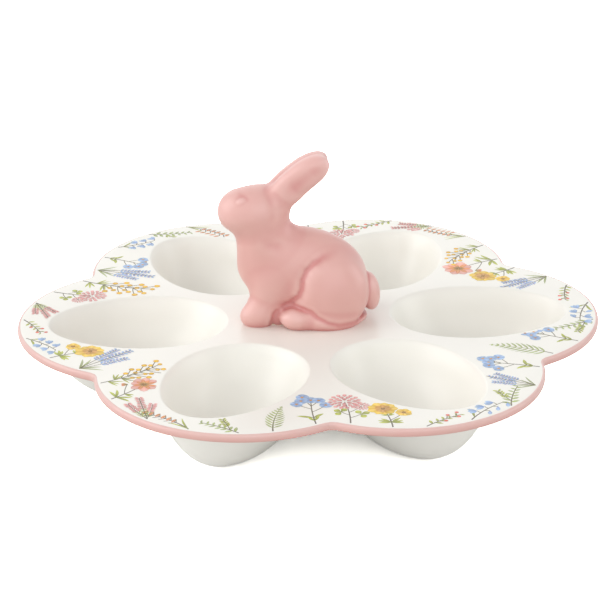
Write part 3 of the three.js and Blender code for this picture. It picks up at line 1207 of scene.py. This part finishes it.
        # painted shade along the base where the rabbit meets the deck, with some glaze pooled there
        foot = np.clip(1 - points[:, 2] / self.base_shade_height, 0, 1) ** 2
        return np.clip(crease + self.foot_share * foot, 0, 1)

    def build(self, glaze: bpy.types.Material) -> bpy.types.Object:
        """Makes the rabbit and marks its pooled glaze and painted shade.

        Args:
            glaze: The pink glaze.

        Returns:
            The rabbit.
        """
        points, faces = self.skin()
        pooling_and_shade = self.pooling_and_shade(points)
        placed = points + np.array([0, 0, self.deck_top])
        rabbit = mesh_piece("rabbit_casting", placed, faces, [glaze])
        mark_pooling_and_shade(rabbit, pooling_and_shade)
        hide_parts("rabbit")
        return rabbit


class Ink(Enum):
    """The print's colours, as thin washes over white."""

    BUTTER = "F8D428"
    YOLK = "D4960E"
    CORAL = "F0864E"
    ROSE = "CC5460"
    BLUSH = "F4BDB4"
    SKY = "AAC8E8"
    IRIS = "7092CE"
    LILAC = "BAB6DE"
    LEAF = "C4CC10"
    FERN = "94A828"
    SAGE = "B6C28A"
    MOSS = "7A8412"
    STALK = "564C00"
    STRAW = "C28C38"
    BARK = "402C06"

    def light(self) -> np.ndarray:
        """The colour as linear red, green and blue."""
        return np.array(linear(self.value)[:3])


Inks = tuple[Ink, Ink]  # the colours where a leaf or petal starts and at its end


@dataclass
class Sprig:
    """One plant of the print as flat shapes, drawn from its root upwards, in millimetres."""

    root: np.ndarray
    heading: float
    length: float
    mirrored: bool
    rng: np.random.Generator
    allowed: Callable[[np.ndarray], np.ndarray]
    points: list[np.ndarray] = field(default_factory=list)
    colours: list[np.ndarray] = field(default_factory=list)
    faces: list[list[int]] = field(default_factory=list)
    dropped: int = 0
    height: float = 0.012  # of the lowest shape over the deck
    layer: float = 0.0015  # from one shape up to the next
    stem_width: float = 0.62
    stem_taper: float = 0.4
    stem_steps: int = 9
    twig_width: float = 0.36
    twig_bend: float = 0.35
    twig_steps: int = 5
    leaf_steps: int = 8
    leaf_fullness: float = 0.8  # less fills a leaf's ends out more
    petal_broad: float = 0.66
    thinnest: float = 0.1
    broadness: float = 1.24
    edge_share: float = 0.8
    middle_paler: float = 0.1
    tone_spread: float = 0.17
    size_spread: tuple[float, float] = (0.86, 1.1)
    lean_spread: float = 5.0
    eye_share: float = 0.24
    pair_start: float = 0.1  # where up a stem paired leaves start, and over how much of it they go on
    pair_run: float = 0.88
    pair_largest: float = 1.1
    pair_shrink: float = 0.5
    pair_angle: float = 54.0
    pair_slimness: float = 0.3
    pair_curl: float = 14.0
    pompom_rings: tuple[tuple[float, int], ...] = ((0.72, 15), (0.45, 11), (0.16, 6))
    pompom_petal: tuple[float, float] = (0.38, 0.22)
    pompom_broad: float = 0.6

    def lay(self, flat: np.ndarray, colours: np.ndarray, faces: list[list[int]]) -> None:
        """Lays one shape over the earlier ones, unless it would leave the deck.

        Args:
            flat: Its points, sideways and upwards from the root.
            colours: A linear colour for each point.
            faces: Its faces.
        """
        side = -flat[:, 0] if self.mirrored else flat[:, 0]
        along = np.array([math.cos(self.heading), math.sin(self.heading)])
        across = np.array([along[1], -along[0]])
        place = self.root + flat[:, 1:2] * along + side[:, None] * across
        if not self.allowed(place).all():
            self.dropped += 1
            return
        start = sum(len(part) for part in self.points)
        height = self.height + self.layer * len(self.points)
        self.points.append(at_height(place, height))
        tone = 1 + self.tone_spread * self.rng.uniform(-1, 1)
        self.colours.append(np.clip(colours * tone, 0, 1))
        step = -1 if self.mirrored else 1
        self.faces += [[corner + start for corner in face[::step]] for face in faces]

    def course(self, start: np.ndarray, way: np.ndarray, length: float) -> np.ndarray:
        """A curve in even steps.

        Args:
            start: Where it starts.
            way: Its direction at each point, in radians to the side of straight up.
            length: Its length, as a share of the sprig's length.

        Returns:
            The points along it.
        """
        step = np.stack([np.sin(way), np.cos(way)], -1) * length * self.length / (len(way) - 1)
        return start + np.vstack([[0, 0], np.cumsum(step[:-1], axis=0)])

    def blade(self, spine: np.ndarray, widths: np.ndarray, inks: Inks) -> None:
        """A stem, leaf or petal: a strip along a curve, darker at its edges and paler along its middle.

        Args:
            spine: The curve's points.
            widths: The full width at each point.
            inks: The colours where it starts and ends.
        """
        way = np.gradient(spine, axis=0)
        way /= np.linalg.norm(way, axis=1)[:, None]
        normal = np.column_stack([way[:, 1], -way[:, 0]])
        half = np.maximum(widths, self.thinnest)[:, None] / 2
        rows = np.stack([spine + normal * half, spine, spine - normal * half], 1)
        share = np.linspace(0, 1, len(spine))[:, None]
        first, last = (ink.light() for ink in inks)
        colour = first + (last - first) * share
        edge = colour * self.edge_share
        middle = colour + (1 - colour) * self.middle_paler
        colours = np.stack([edge, middle, edge], 1)
        faces = grid_faces(0, len(spine), 3, closed=False)
        self.lay(rows.reshape(-1, 2), colours.reshape(-1, 3), [face[::-1] for face in faces])

    def dot(self, centre: np.ndarray, radius: float, inks: Inks, sides: int = 9) -> None:
        """A round spot, such as a berry, a bud or the eye of a flower.

        Args:
            centre: Its middle.
            radius: Its radius, as a share of the sprig's length.
            inks: The colours in its middle and along its edge.
            sides: How many corners it has.
        """
        angle = np.linspace(0, 2 * math.pi, sides, endpoint=False)
        ring = centre + radius * self.length * np.stack([np.cos(angle), np.sin(angle)], -1)
        middle, edge = (ink.light() for ink in inks)
        faces = [[0, side + 1, (side + 1) % sides + 1] for side in range(sides)]
        self.lay(np.vstack([centre, ring]), np.array([middle] + [edge] * sides), faces)

    def stem(self, bend: float, top: float = 1.0, ink: Ink = Ink.STALK) -> np.ndarray:
        """The main stem, which leans further the higher it gets.

        Args:
            bend: How far sideways its top stands, as a share of the sprig's length.
            top: How much of the sprig's length it takes.
            ink: Its colour towards the top.

        Returns:
            The points along it.
        """
        share = np.linspace(0, 1, self.stem_steps)
        spine = self.length * np.stack([bend * share**2, top * share], -1)
        self.blade(spine, self.stem_width * (1 - self.stem_taper * share), (Ink.BARK, ink))
        return spine

    def on_stem(self, spine: np.ndarray, share: float) -> np.ndarray:
        """The point at a share of a stem's height."""
        shares = np.linspace(0, 1, len(spine))
        return np.array([np.interp(share, shares, spine[:, axis]) for axis in (0, 1)])

    def twig(self, start: np.ndarray, angle: float, length: float, ink: Ink = Ink.STALK) -> np.ndarray:
        """A thin side stem that straightens up along its way.

        Args:
            start: Where it grows from.
            angle: Its direction there, in degrees to the side of straight up.
            length: Its length, as a share of the sprig's length.
            ink: Its colour.

        Returns:
            Its end.
        """
        share = np.linspace(0, 1, self.twig_steps)
        spine = self.course(start, np.radians(angle * (1 - self.twig_bend * share)), length)
        self.blade(spine, np.full(self.twig_steps, self.twig_width), (ink, ink))
        return spine[-1]

    def frond(
        self,
        start: np.ndarray,
        angle: float,
        size: tuple[float, float],
        inks: Inks,
        curl: float = 0.0,
        broad: float = 0.5,
    ) -> None:
        """A leaf or petal with a pointed or rounded end.

        Args:
            start: Where it grows from.
            angle: Its direction, in degrees to the side of straight up.
            size: Its length and greatest width, as shares of the sprig's length.
            inks: The colours where it starts and at its end.
            curl: How far it turns over its length, in degrees.
            broad: Where along it is broadest: 0.5 for a leaf, more for a petal.
        """
        share = np.linspace(0, 1, self.leaf_steps)
        spine = self.course(start, np.radians(angle + curl * share), size[0])
        power = math.log(0.5) / math.log(broad)
        outline = np.sin(math.pi * share**power) ** self.leaf_fullness
        self.blade(spine, self.broadness * size[1] * self.length * outline, inks)

    def leaves(
        self,
        start: np.ndarray,
        angles: Sequence[float],
        size: tuple[float, float],
        inks: Inks,
        curl: float = 0.0,
        broad: float = 0.5,
    ) -> None:
        """Leaves or petals in several directions from one place, each a little different.

        Args:
            start: Where they grow from.
            angles: Their directions, in degrees to the side of straight up.
            size: Their length and greatest width, as shares of the sprig's length.
            inks: The colours where they start and at their ends.
            curl: How far they turn outward over their length, in degrees.
            broad: Where along they are broadest.
        """
        for angle in angles:
            grown = size[0] * self.rng.uniform(*self.size_spread)
            lean = angle + self.rng.uniform(-self.lean_spread, self.lean_spread)
            self.frond(start, lean, (grown, size[1]), inks, math.copysign(curl, angle), broad)

    def paired_leaves(self, spine: np.ndarray, rows: int, size: float, inks: Inks) -> None:
        """Pointed leaves up both sides of a stem, smaller towards its top.

        Args:
            spine: The stem's points.
            rows: How many leaves there are.
            size: The lowest leaf's length, as a share of the sprig's length.
            inks: The leaves' colours where they start and at their ends.
        """
        for row in range(rows):
            share = self.pair_start + self.pair_run * row / (rows - 1)
            grown = size * (self.pair_largest - self.pair_shrink * share)
            angle = self.pair_angle if row % 2 else -self.pair_angle
            leaf = (grown, self.pair_slimness * grown)
            self.leaves(self.on_stem(spine, share), (angle,), leaf, inks, self.pair_curl)

    def bloom(
        self,
        centre: np.ndarray,
        petals: int,
        radius: float,
        inks: Inks,
        eye: Ink,
        fullness: float = 1.0,
    ) -> None:
        """An open flower seen from in front.

        Args:
            centre: Its middle.
            petals: How many petals it has.
            radius: From its middle to the petals' ends, as a share of the sprig's length.
            inks: The petals' colours near the middle and at their ends.
            eye: The colour round its middle.
            fullness: The petals' width, 1 where they just meet.
        """
        turn = self.rng.uniform(0, 360)
        width = fullness * 2 * radius * math.sin(math.pi / petals)
        angles = [turn + 360 * petal / petals for petal in range(petals)]
        self.leaves(centre, angles, (radius, width), inks, broad=self.petal_broad)
        self.dot(centre, self.eye_share * radius, (Ink.YOLK, eye))

    def pompom(self, centre: np.ndarray, radius: float, inks: Inks) -> None:
        """A round head of many small petals, in rings.

        Args:
            centre: Its middle.
            radius: Its radius, as a share of the sprig's length.
            inks: The petals' colours where they start and at their ends.
        """
        length, width = self.pompom_petal
        for ring, (reach, count) in enumerate(self.pompom_rings):
            for petal in range(count):
                angle = 360 * (petal + 0.5 * ring) / count
                way = np.array([math.sin(math.radians(angle)), math.cos(math.radians(angle))])
                at = centre + reach * radius * self.length * way
                self.leaves(at, (angle,), (length * radius, width * radius), inks, 0, self.pompom_broad)


@dataclass
class Plant(Sprig):
    """The print's kinds of plant. Sizes are shares of a plant's length, and angles are in degrees."""

    green: Inks = (Ink.MOSS, Ink.LEAF)

    def buttercup(self) -> None:
        """Yellow flowers over cut leaves."""
        spine = self.stem(0.12, 0.76)
        self.leaves(spine[2], (-88, -64, -40, 40, 64, 88), (0.24, 0.05), self.green, 12)
        self.leaves(spine[5], (-70, -40, 44, 72), (0.14, 0.034), self.green)
        small = self.twig(spine[3], -46, 0.4)
        self.bloom(small, 7, 0.15, (Ink.YOLK, Ink.BUTTER), Ink.BARK, 0.8)
        self.bloom(spine[-1], 9, 0.28, (Ink.YOLK, Ink.BUTTER), Ink.BARK, 0.8)
        self.bloom(spine[-1], 8, 0.15, (Ink.STRAW, Ink.YOLK), Ink.BARK, 0.7)

    def clover(self) -> None:
        """Round pink heads on stems with three-part leaves."""
        spine = self.stem(-0.1, 0.78)
        for level, turn, length in ((2, 58, 0.22), (3, -56, 0.18)):
            leaf = self.twig(spine[level], turn, length)
            self.leaves(leaf, (turn - 88, turn, turn + 88), (0.14, 0.085), self.green, 0, 0.62)
        small = self.twig(spine[4], 46, 0.3)
        self.pompom(small, 0.13, (Ink.ROSE, Ink.BLUSH))
        self.pompom(spine[-1], 0.25, (Ink.ROSE, Ink.BLUSH))

    def lavender(self) -> None:
        """Spikes of small violet florets over narrow leaves."""
        root = np.zeros(2)
        self.leaves(root, (-40, 36, -20, 16), (0.4, 0.032), (Ink.MOSS, Ink.SAGE), 16)
        for lean, size in ((-15, 0.8), (14, 0.88), (1, 1.0)):
            end = self.twig(root, lean, size)
            for row, share in enumerate(np.linspace(0.46, 1.0, 9)):
                floret = 0.105 * (1.3 - 0.6 * share)
                inks = (Ink.IRIS, Ink.LILAC) if row % 2 else (Ink.IRIS, Ink.SKY)
                self.leaves(end * share, (lean - 58, lean + 58), (floret, 0.034), inks, 0, 0.6)

    def poppy(self) -> None:
        """A broad coral flower with a yellow heart and a nodding bud."""
        spine = self.stem(0.1, 0.76)
        self.leaves(spine[1], (-66, -38, 40, 70), (0.28, 0.042), self.green, 22)
        self.leaves(spine[3], (-52, -78), (0.18, 0.034), self.green)
        neck = self.twig(spine[3], 52, 0.4)
        self.leaves(neck, (130, 155, 180), (0.12, 0.045), (Ink.MOSS, Ink.CORAL), 0, 0.6)
        head = spine[-1]
        outer = (-80, -40, 0, 40, 80, 125, 180, -125)
        inner = (-60, -20, 20, 60, 100, -100, 150, -150)
        self.leaves(head, outer, (0.27, 0.13), (Ink.CORAL, Ink.BLUSH), 0, 0.68)
        self.leaves(head, inner, (0.21, 0.055), (Ink.YOLK, Ink.CORAL), 0, 0.6)
        self.bloom(head, 7, 0.095, (Ink.BARK, Ink.YOLK), Ink.BARK, 0.5)

    def fern(self) -> None:
        """A pale, feathery frond."""
        spine = self.stem(0.2, 0.98, Ink.SAGE)
        for share in np.linspace(0.14, 0.95, 10):
            size = 0.27 * math.sin(math.pi * (0.15 + 0.8 * share)) * (1.18 - 0.75 * share)
            at = self.on_stem(spine, share)
            for side in (-1, 1):
                self.frond(at, 12 + side * 54, (size, 0.03), (Ink.FERN, Ink.SAGE), -side * 22)

    def speedwell(self) -> None:
        """Small blue flowers on a forked stem."""
        spine = self.stem(0.08, 0.88)
        self.leaves(spine[2], (-58, 50), (0.26, 0.05), self.green, 15)
        self.leaves(spine[1], (-30, 34), (0.2, 0.04), self.green)
        ends = [spine[-1]]
        forks = ((7, -62, 0.18), (6, 46, 0.24), (5, -50, 0.3), (4, 58, 0.34), (6, -16, 0.36))
        for level, turn, length in forks:
            ends.append(self.twig(spine[level], turn, length))
        for end in ends:
            self.bloom(end, 5, 0.11, (Ink.IRIS, Ink.SKY), Ink.STRAW, 0.85)

    def mimosa(self) -> None:
        """Yellow balls along a stem with thin leaves."""
        spine = self.stem(-0.16, 0.96)
        for level, side in ((1, 1), (2, -1), (3, 1)):
            self.leaves(spine[level], (side * 30, side * 52, side * 74), (0.24, 0.026), self.green)
        for level in range(3, 9):
            side = 1 if level % 2 else -1
            for turn, length, size in ((60, 0.27, 0.048), (26, 0.18, 0.04), (-50, 0.19, 0.044)):
                end = self.twig(spine[level], side * turn, length)
                self.dot(end, size, (Ink.BUTTER, Ink.YOLK))

    def bellflower(self) -> None:
        """Blue bells that hang from a bent stem."""
        spine = self.stem(-0.2, 0.95)
        self.leaves(spine[1], (-34, 30, -62), (0.38, 0.042), self.green, 24)
        for level, side in ((8, -1), (7, 1), (6, -1), (5, 1), (4, -1), (3, 1)):
            end = self.twig(spine[level], side * 78, 0.1)
            fall = side * 128
            self.leaves(end, (fall - 26, fall, fall + 26), (0.19, 0.068), (Ink.IRIS, Ink.SKY), 0, 0.6)

    def oats(self) -> None:
        """A nodding grass with hanging seeds."""
        spine = self.stem(0.26, 0.94)
        self.leaves(spine[0], (-26, 12, -10), (0.52, 0.03), self.green, 22)
        for level in range(3, 9):
            for side in (-1, 1):
                end = self.twig(spine[level], 20 + side * 58, 0.13, Ink.BARK)
                self.frond(end, 130 + side * 14, (0.15, 0.05), (Ink.STRAW, Ink.CORAL))

    def pennyleaf(self) -> None:
        """A twig of small pointed leaves with coral berries."""
        spine = self.stem(-0.14, 0.94)
        self.paired_leaves(spine, 11, 0.18, self.green)
        for level, side in ((3, -1), (5, 1), (6, -1), (7, 1)):
            end = self.twig(spine[level], side * 40, 0.17)
            self.dot(end, 0.046, (Ink.CORAL, Ink.ROSE))

    def willow(self) -> None:
        """A forked twig of narrow grey-green leaves."""
        spine = self.stem(0.16, 0.96)
        self.paired_leaves(spine, 13, 0.2, (Ink.FERN, Ink.SAGE))
        fork = self.twig(spine[2], -34, 0.5)
        for share in np.linspace(0.35, 1.0, 5):
            at = spine[2] + (fork - spine[2]) * share
            self.leaves(at, (-70, 14), (0.13, 0.04), self.green)

    def heather(self) -> None:
        """Low twigs of small pink bells among needle leaves."""
        root = np.zeros(2)
        for lean, size in ((-24, 0.66), (20, 0.78), (-2, 0.96)):
            end = self.twig(root, lean, size)
            for share in np.linspace(0.15, 0.5, 5):
                self.leaves(end * share, (lean - 48, lean + 48), (0.1, 0.02), self.green)
            for share in np.linspace(0.5, 1.0, 7):
                bells = (lean - 64, lean + 64)
                self.leaves(end * share, bells, (0.1, 0.05), (Ink.ROSE, Ink.BLUSH), 0, 0.62)


class Habit(Enum):
    """Where a plant grows."""

    TALL = "into the deck between two wells"
    LOW = "leaning along the narrow strip outside a well"


class Motif(Enum):
    """The print's plants: how each is drawn, its usual length in millimetres, and where it grows."""

    BUTTERCUP = (Plant.buttercup, 26.0, Habit.TALL)
    LAVENDER = (Plant.lavender, 28.0, Habit.TALL)
    SPEEDWELL = (Plant.speedwell, 26.0, Habit.TALL)
    FERN = (Plant.fern, 28.0, Habit.TALL)
    POPPY = (Plant.poppy, 27.0, Habit.TALL)
    MIMOSA = (Plant.mimosa, 27.0, Habit.TALL)
    CLOVER = (Plant.clover, 26.0, Habit.TALL)
    PENNYLEAF = (Plant.pennyleaf, 20.0, Habit.LOW)
    BELLFLOWER = (Plant.bellflower, 21.0, Habit.LOW)
    WILLOW = (Plant.willow, 20.0, Habit.LOW)
    OATS = (Plant.oats, 22.0, Habit.LOW)
    HEATHER = (Plant.heather, 20.0, Habit.LOW)

    def __init__(self, draw: Callable[[Plant], None], length: float, habit: Habit) -> None:
        """Names the three values that a plant is listed with."""
        self.draw, self.length, self.habit = draw, length, habit


Spot = tuple[float, float]  # place along a lobe's edge, from -1 to 1, and lean from straight inward


@dataclass
class FlowerPrint:
    """A border of meadow plants that root at the rim and fill the deck between rim and wells."""

    form: TrayForm
    lip: float  # half width of a well's mouth over its lip
    rim_margin: float = 2.4
    rim_play: float = 0.4  # how far a plant's foot may spread past that margin
    lip_margin: float = 0.3
    tip_margin: float = 0.4
    tall_spots: tuple[Spot, ...] = ((-0.9, 20), (-0.63, 9), (0.6, -9), (0.88, -20))
    low_spots: tuple[Spot, ...] = ((-0.42, -48), (-0.1, -52), (0.22, -50))
    place_spread: float = 0.015
    lean_spread: float = 5.0
    size_spread: tuple[float, float] = (0.92, 1.12)
    longest: float = 40.0
    feeler: float = 0.5  # the step by which a plant's room is felt out
    chart_margin: float = 0.01  # left free round each lobe's print in its flat chart
    seed: int = 41

    def allowed(self, place: np.ndarray) -> np.ndarray:
        """Whether flat points lie on the level deck, clear of rim and lips.

        Args:
            place: Rows of x and y.

        Returns:
            True for each point that does.
        """
        form = self.form
        on_lobe = np.zeros(len(place), bool)
        in_well = np.zeros(len(place), bool)
        half_width = self.lip + self.lip_margin
        half_length = half_width + (form.well_length - form.well_width) / 2
        for turn in form.turns:
            local = turned(place, -turn)
            from_lobe = np.hypot(local[:, 0] - form.lobe_reach, local[:, 1])
            on_lobe |= from_lobe < form.lobe_radius - self.rim_margin + self.rim_play
            along = (local[:, 0] - form.well_reach) / half_length
            width = half_width * (1 - form.well_taper * np.clip(along, -1, 1))
            in_well |= along**2 + (local[:, 1] / width) ** 2 < 1
        return on_lobe & ~in_well

    def room(self, root: np.ndarray, heading: float) -> float:
        """How far a plant can grow.

        Args:
            root: Where it starts.
            heading: Its direction, in radians.

        Returns:
            The length, in millimetres.
        """
        steps = np.arange(self.feeler, self.longest, self.feeler)
        way = np.array([math.cos(heading), math.sin(heading)])
        free = self.allowed(root + steps[:, None] * way)
        return float(steps[-1] if free.all() else steps[np.argmin(free)])

    def plant(self, lobe: int, spot: Spot, motif: Motif, rng: np.random.Generator) -> Plant:
        """Draws one plant, as it is or mirrored, whichever fits the deck better.

        Args:
            lobe: The lobe's number.
            spot: Its place along the lobe's edge, and its lean.
            motif: Which plant it is.
            rng: Source of its small differences.

        Returns:
            The plant.
        """
        turn = self.form.turns[lobe]
        share = spot[0] + rng.uniform(-self.place_spread, self.place_spread)
        place, outward = self.form.rim(np.array([share]))
        root = turned(place - outward * self.rim_margin, turn)[0]
        way = turned(-outward, turn)[0]
        lean = spot[1] + rng.uniform(-self.lean_spread, self.lean_spread)
        heading = math.atan2(way[1], way[0]) + math.radians(lean)
        grown = motif.length * rng.uniform(*self.size_spread)
        length = min(grown, self.room(root, heading) - self.tip_margin)
        seed = int(rng.integers(2**31))
        tries = []
        for mirrored in rng.permutation([False, True]):
            own_rng = np.random.default_rng(seed)
            plant = Plant(root, heading, length, bool(mirrored), own_rng, self.allowed)
            motif.draw(plant)
            tries.append(plant)
        return min(tries, key=lambda plant: plant.dropped)

    def plants(self) -> list[list[Plant]]:
        """Draws all the plants, in turn along the spots.

        Returns:
            The plants of each lobe.
        """
        rng = np.random.default_rng(self.seed)
        lobes = []
        for lobe in range(self.form.wells):
            plants = []
            side = 1 if lobe % 2 else -1
            for habit, spots in ((Habit.TALL, self.tall_spots), (Habit.LOW, self.low_spots)):
                kinds = [motif for motif in Motif if motif.habit == habit]
                for number, (share, lean) in enumerate(spots):
                    motif = kinds[(number + lobe * len(spots)) % len(kinds)]
                    plants.append(self.plant(lobe, (side * share, side * lean), motif, rng))
            lobes.append(plants)
        return lobes

    def sheet(self, name: str, plants: Sequence[Plant], ink: bpy.types.Material) -> bpy.types.Object:
        """Joins the plants of one lobe into a piece, with a flat chart for the bake.

        Args:
            name: The piece's name.
            plants: The drawn plants.
            ink: The print's material.

        Returns:
            The piece.
        """
        points, colours, faces = [], [], []
        for plant in plants:
            start = sum(len(part) for part in points)
            points += plant.points
            colours += plant.colours
            faces += [[corner + start for corner in face] for face in plant.faces]
        placed = np.concatenate(points) + np.array([0, 0, self.form.deck_top])
        piece = mesh_piece(name, placed, faces, [ink])
        shade = piece.data.attributes.new("ink", "FLOAT_COLOR", "POINT")
        rgb = np.concatenate(colours)
        rgba = np.column_stack([rgb, np.ones(len(rgb))])
        shade.data.foreach_set("color", rgba.astype(np.float32).ravel())
        flat = placed[:, :2]
        low, span = flat.min(0), np.ptp(flat, axis=0).max()
        uv = self.chart_margin + (1 - 2 * self.chart_margin) * (flat - low) / span
        corner = np.zeros(len(piece.data.loops), np.int32)
        piece.data.loops.foreach_get("vertex_index", corner)
        chart = piece.data.uv_layers.new(name="OFBake")
        chart.uv.foreach_set("vector", uv[corner].astype(np.float32).ravel())
        return piece

    def build(self, ink: bpy.types.Material) -> list[bpy.types.Object]:
        """Prints the border, one piece for each lobe.

        Args:
            ink: The print's material.

        Returns:
            The pieces.
        """
        lobes = enumerate(self.plants())
        return [self.sheet(f"flower_print_{lobe + 1}", plants, ink) for lobe, plants in lobes]


@dataclass(frozen=True)
class Softbox:
    """A square lamp that faces the tray, in metres and watts."""

    name: str
    place: tuple[float, float, float]
    side: float
    power: float

    def hang(self, aim: Vector) -> None:
        """Hangs the lamp.

        Args:
            aim: The place that it faces.
        """
        data = bpy.data.lights.new(self.name, "AREA")
        data.size = self.side
        data.energy = self.power
        lamp = bpy.data.objects.new(self.name, data)
        lamp.location = self.place
        way = aim - Vector(self.place)
        lamp.rotation_euler = way.to_track_quat("-Z", "Y").to_euler()
        bpy.context.scene.collection.objects.link(lamp)


@dataclass(frozen=True)
class Studio:
    """A pale floor, soft lamps and the camera, placed as the tray was photographed."""

    look_at_mm: float = 34.0
    camera_distance_mm: float = 1200.0
    camera_elevation: float = 22.95
    camera_turn: float = 4.69
    lens_mm: float = 154.6
    sensor_mm: float = 36.0
    shift: tuple[float, float] = (-0.0019, 0.0136)
    sight_m: float = 50.0
    floor_size_m: float = 14.0
    floor_drop_m: float = 0.0002  # a hair under the feet
    floor_colour: str = "FFFFFF"
    floor_gain: float = 3.0  # how bright the floor looks, bounces and mirrors, against plain white paper
    bounce_share: float = 0.85
    mirror_share: float = 1.1
    fill: float = 0.5
    lamps: tuple[Softbox, ...] = (
        Softbox("left_softbox", (-4.6, 0.2, 2.4), 4.6, 134.0),
        Softbox("front_left_softbox", (-3.4, -2.6, 2.8), 5.0, 46.0),
        Softbox("front_fill", (0.6, -4.4, 2.2), 4.2, 66.0),
        Softbox("right_fill", (4.6, -0.4, 1.6), 3.2, 54.0),
        Softbox("back_fill", (0.0, 4.2, 2.6), 5.0, 50.0),
    )

    @property
    def middle(self) -> Vector:
        """The place in the tray that the camera and the lamps face, in metres."""
        return Vector((0, 0, self.look_at_mm * MM))

    def build(self) -> None:
        """Sets up the floor, the world, the lamps and the camera."""
        self.floor()
        self.world()
        for lamp in self.lamps:
            lamp.hang(self.middle)
        self.camera()
        bpy.context.scene.view_settings.view_transform = "Standard"

    def floor(self) -> None:
        """A white sweep that shows the tray's shadow. Seen directly it is brighter than it bounces."""
        half = self.floor_size_m / 2
        mesh = bpy.data.meshes.new("studio_floor")
        corners = [(-half, -half, 0), (half, -half, 0), (half, half, 0), (-half, half, 0)]
        mesh.from_pydata(corners, [], [[0, 1, 2, 3]])
        material, tree = fresh_material("white_paper_sweep")
        seen = add_node(tree, "ShaderNodeLightPath").outputs
        direct = add_node(
            tree,
            "ShaderNodeMath",
            {0: seen["Is Camera Ray"], 1: seen["Is Transmission Ray"]},
            operation="MAXIMUM",
        ).outputs[0]
        white = np.array(linear(self.floor_colour)[:3])
        mirrored = add_node(
            tree,
            "ShaderNodeMix",
            {
                "Factor": seen["Is Glossy Ray"],
                6: (*(white * self.bounce_share), 1.0),
                7: (*(white * self.mirror_share), 1.0),
            },
            data_type="RGBA",
        ).outputs[2]
        colour = add_node(
            tree,
            "ShaderNodeMix",
            {"Factor": direct, 6: mirrored, 7: (*(white * self.floor_gain), 1.0)},
            data_type="RGBA",
        ).outputs[2]
        shader = add_node(tree, "ShaderNodeBsdfDiffuse", {"Color": colour}).outputs[0]
        add_node(tree, "ShaderNodeOutputMaterial", {"Surface": shader})
        mesh.materials.append(material)
        floor = bpy.data.objects.new("studio_floor", mesh)
        floor.location.z = -self.floor_drop_m
        bpy.context.scene.collection.objects.link(floor)

    def world(self) -> None:
        """An even white surround. Seen or mirrored it is plain white, and it lights the tray less."""
        world = bpy.data.worlds.new("white_surround")
        world.use_nodes = True
        world.node_tree.nodes.clear()
        tree = world.node_tree
        seen = add_node(tree, "ShaderNodeLightPath").outputs
        direct = seen["Is Camera Ray"]
        for kind in ("Is Glossy Ray", "Is Transmission Ray"):
            direct = add_node(
                tree, "ShaderNodeMath", {0: direct, 1: seen[kind]}, operation="MAXIMUM"
            ).outputs[0]
        strength = add_node(
            tree, "ShaderNodeMapRange", {"Value": direct, "To Min": self.fill, "To Max": 1.0}
        ).outputs["Result"]
        light = add_node(
            tree, "ShaderNodeBackground", {"Color": (1, 1, 1, 1), "Strength": strength}
        ).outputs[0]
        add_node(tree, "ShaderNodeOutputWorld", {"Surface": light})
        bpy.context.scene.world = world

    def camera(self) -> None:
        """Places the camera at the photograph's angle and framing."""
        data = bpy.data.cameras.new("camera")
        data.lens = self.lens_mm
        data.sensor_width = self.sensor_mm
        data.shift_x, data.shift_y = self.shift
        data.clip_end = self.sight_m
        camera = bpy.data.objects.new("camera", data)
        rise, turn = math.radians(self.camera_elevation), math.radians(self.camera_turn)
        level = math.cos(rise)
        back = Vector((-level * math.sin(turn), -level * math.cos(turn), math.sin(rise)))
        camera.location = self.middle + back * self.camera_distance_mm * MM
        camera.rotation_euler = (-back).to_track_quat("-Z", "Y").to_euler()
        bpy.context.scene.collection.objects.link(camera)
        bpy.context.scene.camera = camera


def dress_slip_bed(clay: bpy.types.Material) -> None:
    """Gives the thin bed of slip under the rabbit its finish.

    Args:
        clay: The bare clay.
    """
    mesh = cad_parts["slip_bed"].data
    mesh.materials.clear()
    mesh.materials.append(clay)
    LOG.info("slip_bed: dressed")


def main() -> None:
    """Builds the tray's pieces in order, then the studio round them."""
    logging.basicConfig(level=logging.INFO, format="%(message)s")
    form = TrayForm()
    clay = BareClay().material()
    casting = TrayCasting(form)
    casting.build(WhiteGlaze().material(), clay)
    pink = PinkGlaze().material()
    # the band's pale end is a painted highlight along its top, its rosy end painted shade lower down
    brushed = PinkGlaze("brushed_rose_pink_glaze", thin="E4C4BD", body="D7ACA3", gathered_and_shaded="C79388")
    RimBand(form, casting).build(brushed.material())
    Rabbit(form.deck_top).build(pink)
    dress_slip_bed(clay)
    lip = float(casting.inside_profile()[-1, 0])
    FlowerPrint(form, lip).build(PrintedInk().material())
    Studio().build()


if __name__ == "__main__":
    main()
